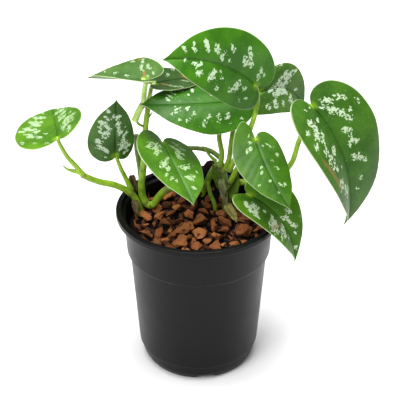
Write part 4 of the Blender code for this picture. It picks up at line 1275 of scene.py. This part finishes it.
def lay_chips(name, places, lift, detail, rng, mat, node=None):
    """One mesh of chips lying on the mix, each with its own tone."""
    whole = bmesh.new()
    tone_layer = whole.verts.layers.float.new("tone")
    for x, y, size in places:
        chip = broken_chip(rng, size, detail)
        turn, tip_x, tip_y = rng.uniform(0, 2 * math.pi), rng.gauss(0, 0.30), rng.gauss(0, 0.30)
        spin = (Vector((0, 0, 1)).rotation_difference(Vector((tip_x, tip_y, 1.0)).normalized())).to_matrix()
        height = mix_height(x, y) + lift * size + rng.uniform(-1.4, 2.2) * MM
        tone = rng.uniform(0.0, 1.0)
        made = {}
        for vert in chip.verts:
            flat = Vector((vert.co.x * math.cos(turn) - vert.co.y * math.sin(turn),
                           vert.co.x * math.sin(turn) + vert.co.y * math.cos(turn), vert.co.z))
            place = spin @ flat + Vector((x, y, height))
            away = math.hypot(place.x, place.y)
            if away > CHIP_LIMIT:
                place.x *= CHIP_LIMIT / away
                place.y *= CHIP_LIMIT / away
            copy = whole.verts.new(place)
            copy[tone_layer] = tone
            made[vert] = copy
        for face in chip.faces:
            whole.faces.new([made[v] for v in face.verts])
        chip.free()
    mesh = mesh_from(name, whole)
    return add_piece(name, mesh, [mat], node, smooth_angle=32)


def build_chips():
    warm = chip_bark("chip_bark", rgb(176, 110, 62), rgb(104, 58, 32), rgb(200, 154, 114))
    # The chips that lie lower, between the top ones, get a darker copy of the bark as painted shade in the
    # gaps.
    deep = chip_bark("chip_bark_shaded", rgb(98, 58, 36), rgb(54, 32, 22), rgb(122, 88, 66))
    nodes = sorted(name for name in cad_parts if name.startswith("bark_chip"))
    rng = random.Random(5)
    top = scatter(TOP_CHIPS, CHIP_RADIUS, rng, [], 0.37)
    lay_chips("chips_top", top, 0.30, 2, rng, warm, nodes)
    below = scatter(LOWER_CHIPS, CHIP_RADIUS, rng, [], 0.38)
    lay_chips("chips_between", below, 0.05, 1, rng, deep)


# ---------------------------------------------------------------------------------------------- studio


def build_floor():
    bm = bmesh.new()
    bmesh.ops.create_grid(bm, x_segments=4, y_segments=4, size=4.0)
    obj = bpy.data.objects.new("studio_floor", mesh_from("studio_floor", bm))
    bpy.context.scene.collection.objects.link(obj)
    obj.data.materials.append(floor_paint())


def add_light(name, place, size, power, target=(0.0, 0.0, 0.15)):
    data = bpy.data.lights.new(name, "AREA")
    data.shape = "DISK"
    data.size = size
    data.energy = power
    obj = bpy.data.objects.new(name, data)
    bpy.context.scene.collection.objects.link(obj)
    obj.location = place
    obj.rotation_euler = (Vector(target) - Vector(place)).to_track_quat("-Z", "Y").to_euler()


WORLD_LIGHT = 0.32
# Lights: name, place, diameter in metres, power in watts.
LIGHTS = [("overhead", (0.0, 0.1, 1.8), 1.6, 54.0), ("key", (-0.5, -0.9, 1.2), 0.8, 12.0)]


def build_lights():
    world = bpy.data.worlds.new("studio")
    world.use_nodes = True
    shader = Shader(world.node_tree)
    seen = shader.node("ShaderNodeLightPath").outputs["Is Camera Ray"]
    strength = shader.step(seen, 0.0, 1.0, WORLD_LIGHT, 1.0)
    shader.put(world.node_tree.nodes["Background"].inputs["Color"], (1.0, 1.0, 1.0, 1.0))
    shader.put(world.node_tree.nodes["Background"].inputs["Strength"], strength)
    bpy.context.scene.world = world
    for name, place, size, power in LIGHTS:
        add_light(name, place, size, power)
    bpy.context.scene.view_settings.view_transform = "Standard"


CAMERA_DISTANCE = 0.841
CAMERA_ELEVATION = math.radians(31.8)
CAMERA_TARGET = Vector((0.0, 0.0, 0.1331))
CAMERA_LENS = 104.6
CAMERA_SHIFT = 0.00375


def build_camera():
    data = bpy.data.cameras.new("camera")
    data.lens = CAMERA_LENS
    data.sensor_width = 36.0
    data.shift_x = CAMERA_SHIFT
    obj = bpy.data.objects.new("camera", data)
    bpy.context.scene.collection.objects.link(obj)
    away = Vector((0.0, -math.cos(CAMERA_ELEVATION), math.sin(CAMERA_ELEVATION)))
    obj.location = CAMERA_TARGET + away * CAMERA_DISTANCE
    obj.rotation_euler = (-away).to_track_quat("-Z", "Y").to_euler()
    bpy.context.scene.camera = obj


build_camera()
build_pot()
build_mix()
build_chips()
build_blades()
build_stems()
build_floor()
build_lights()
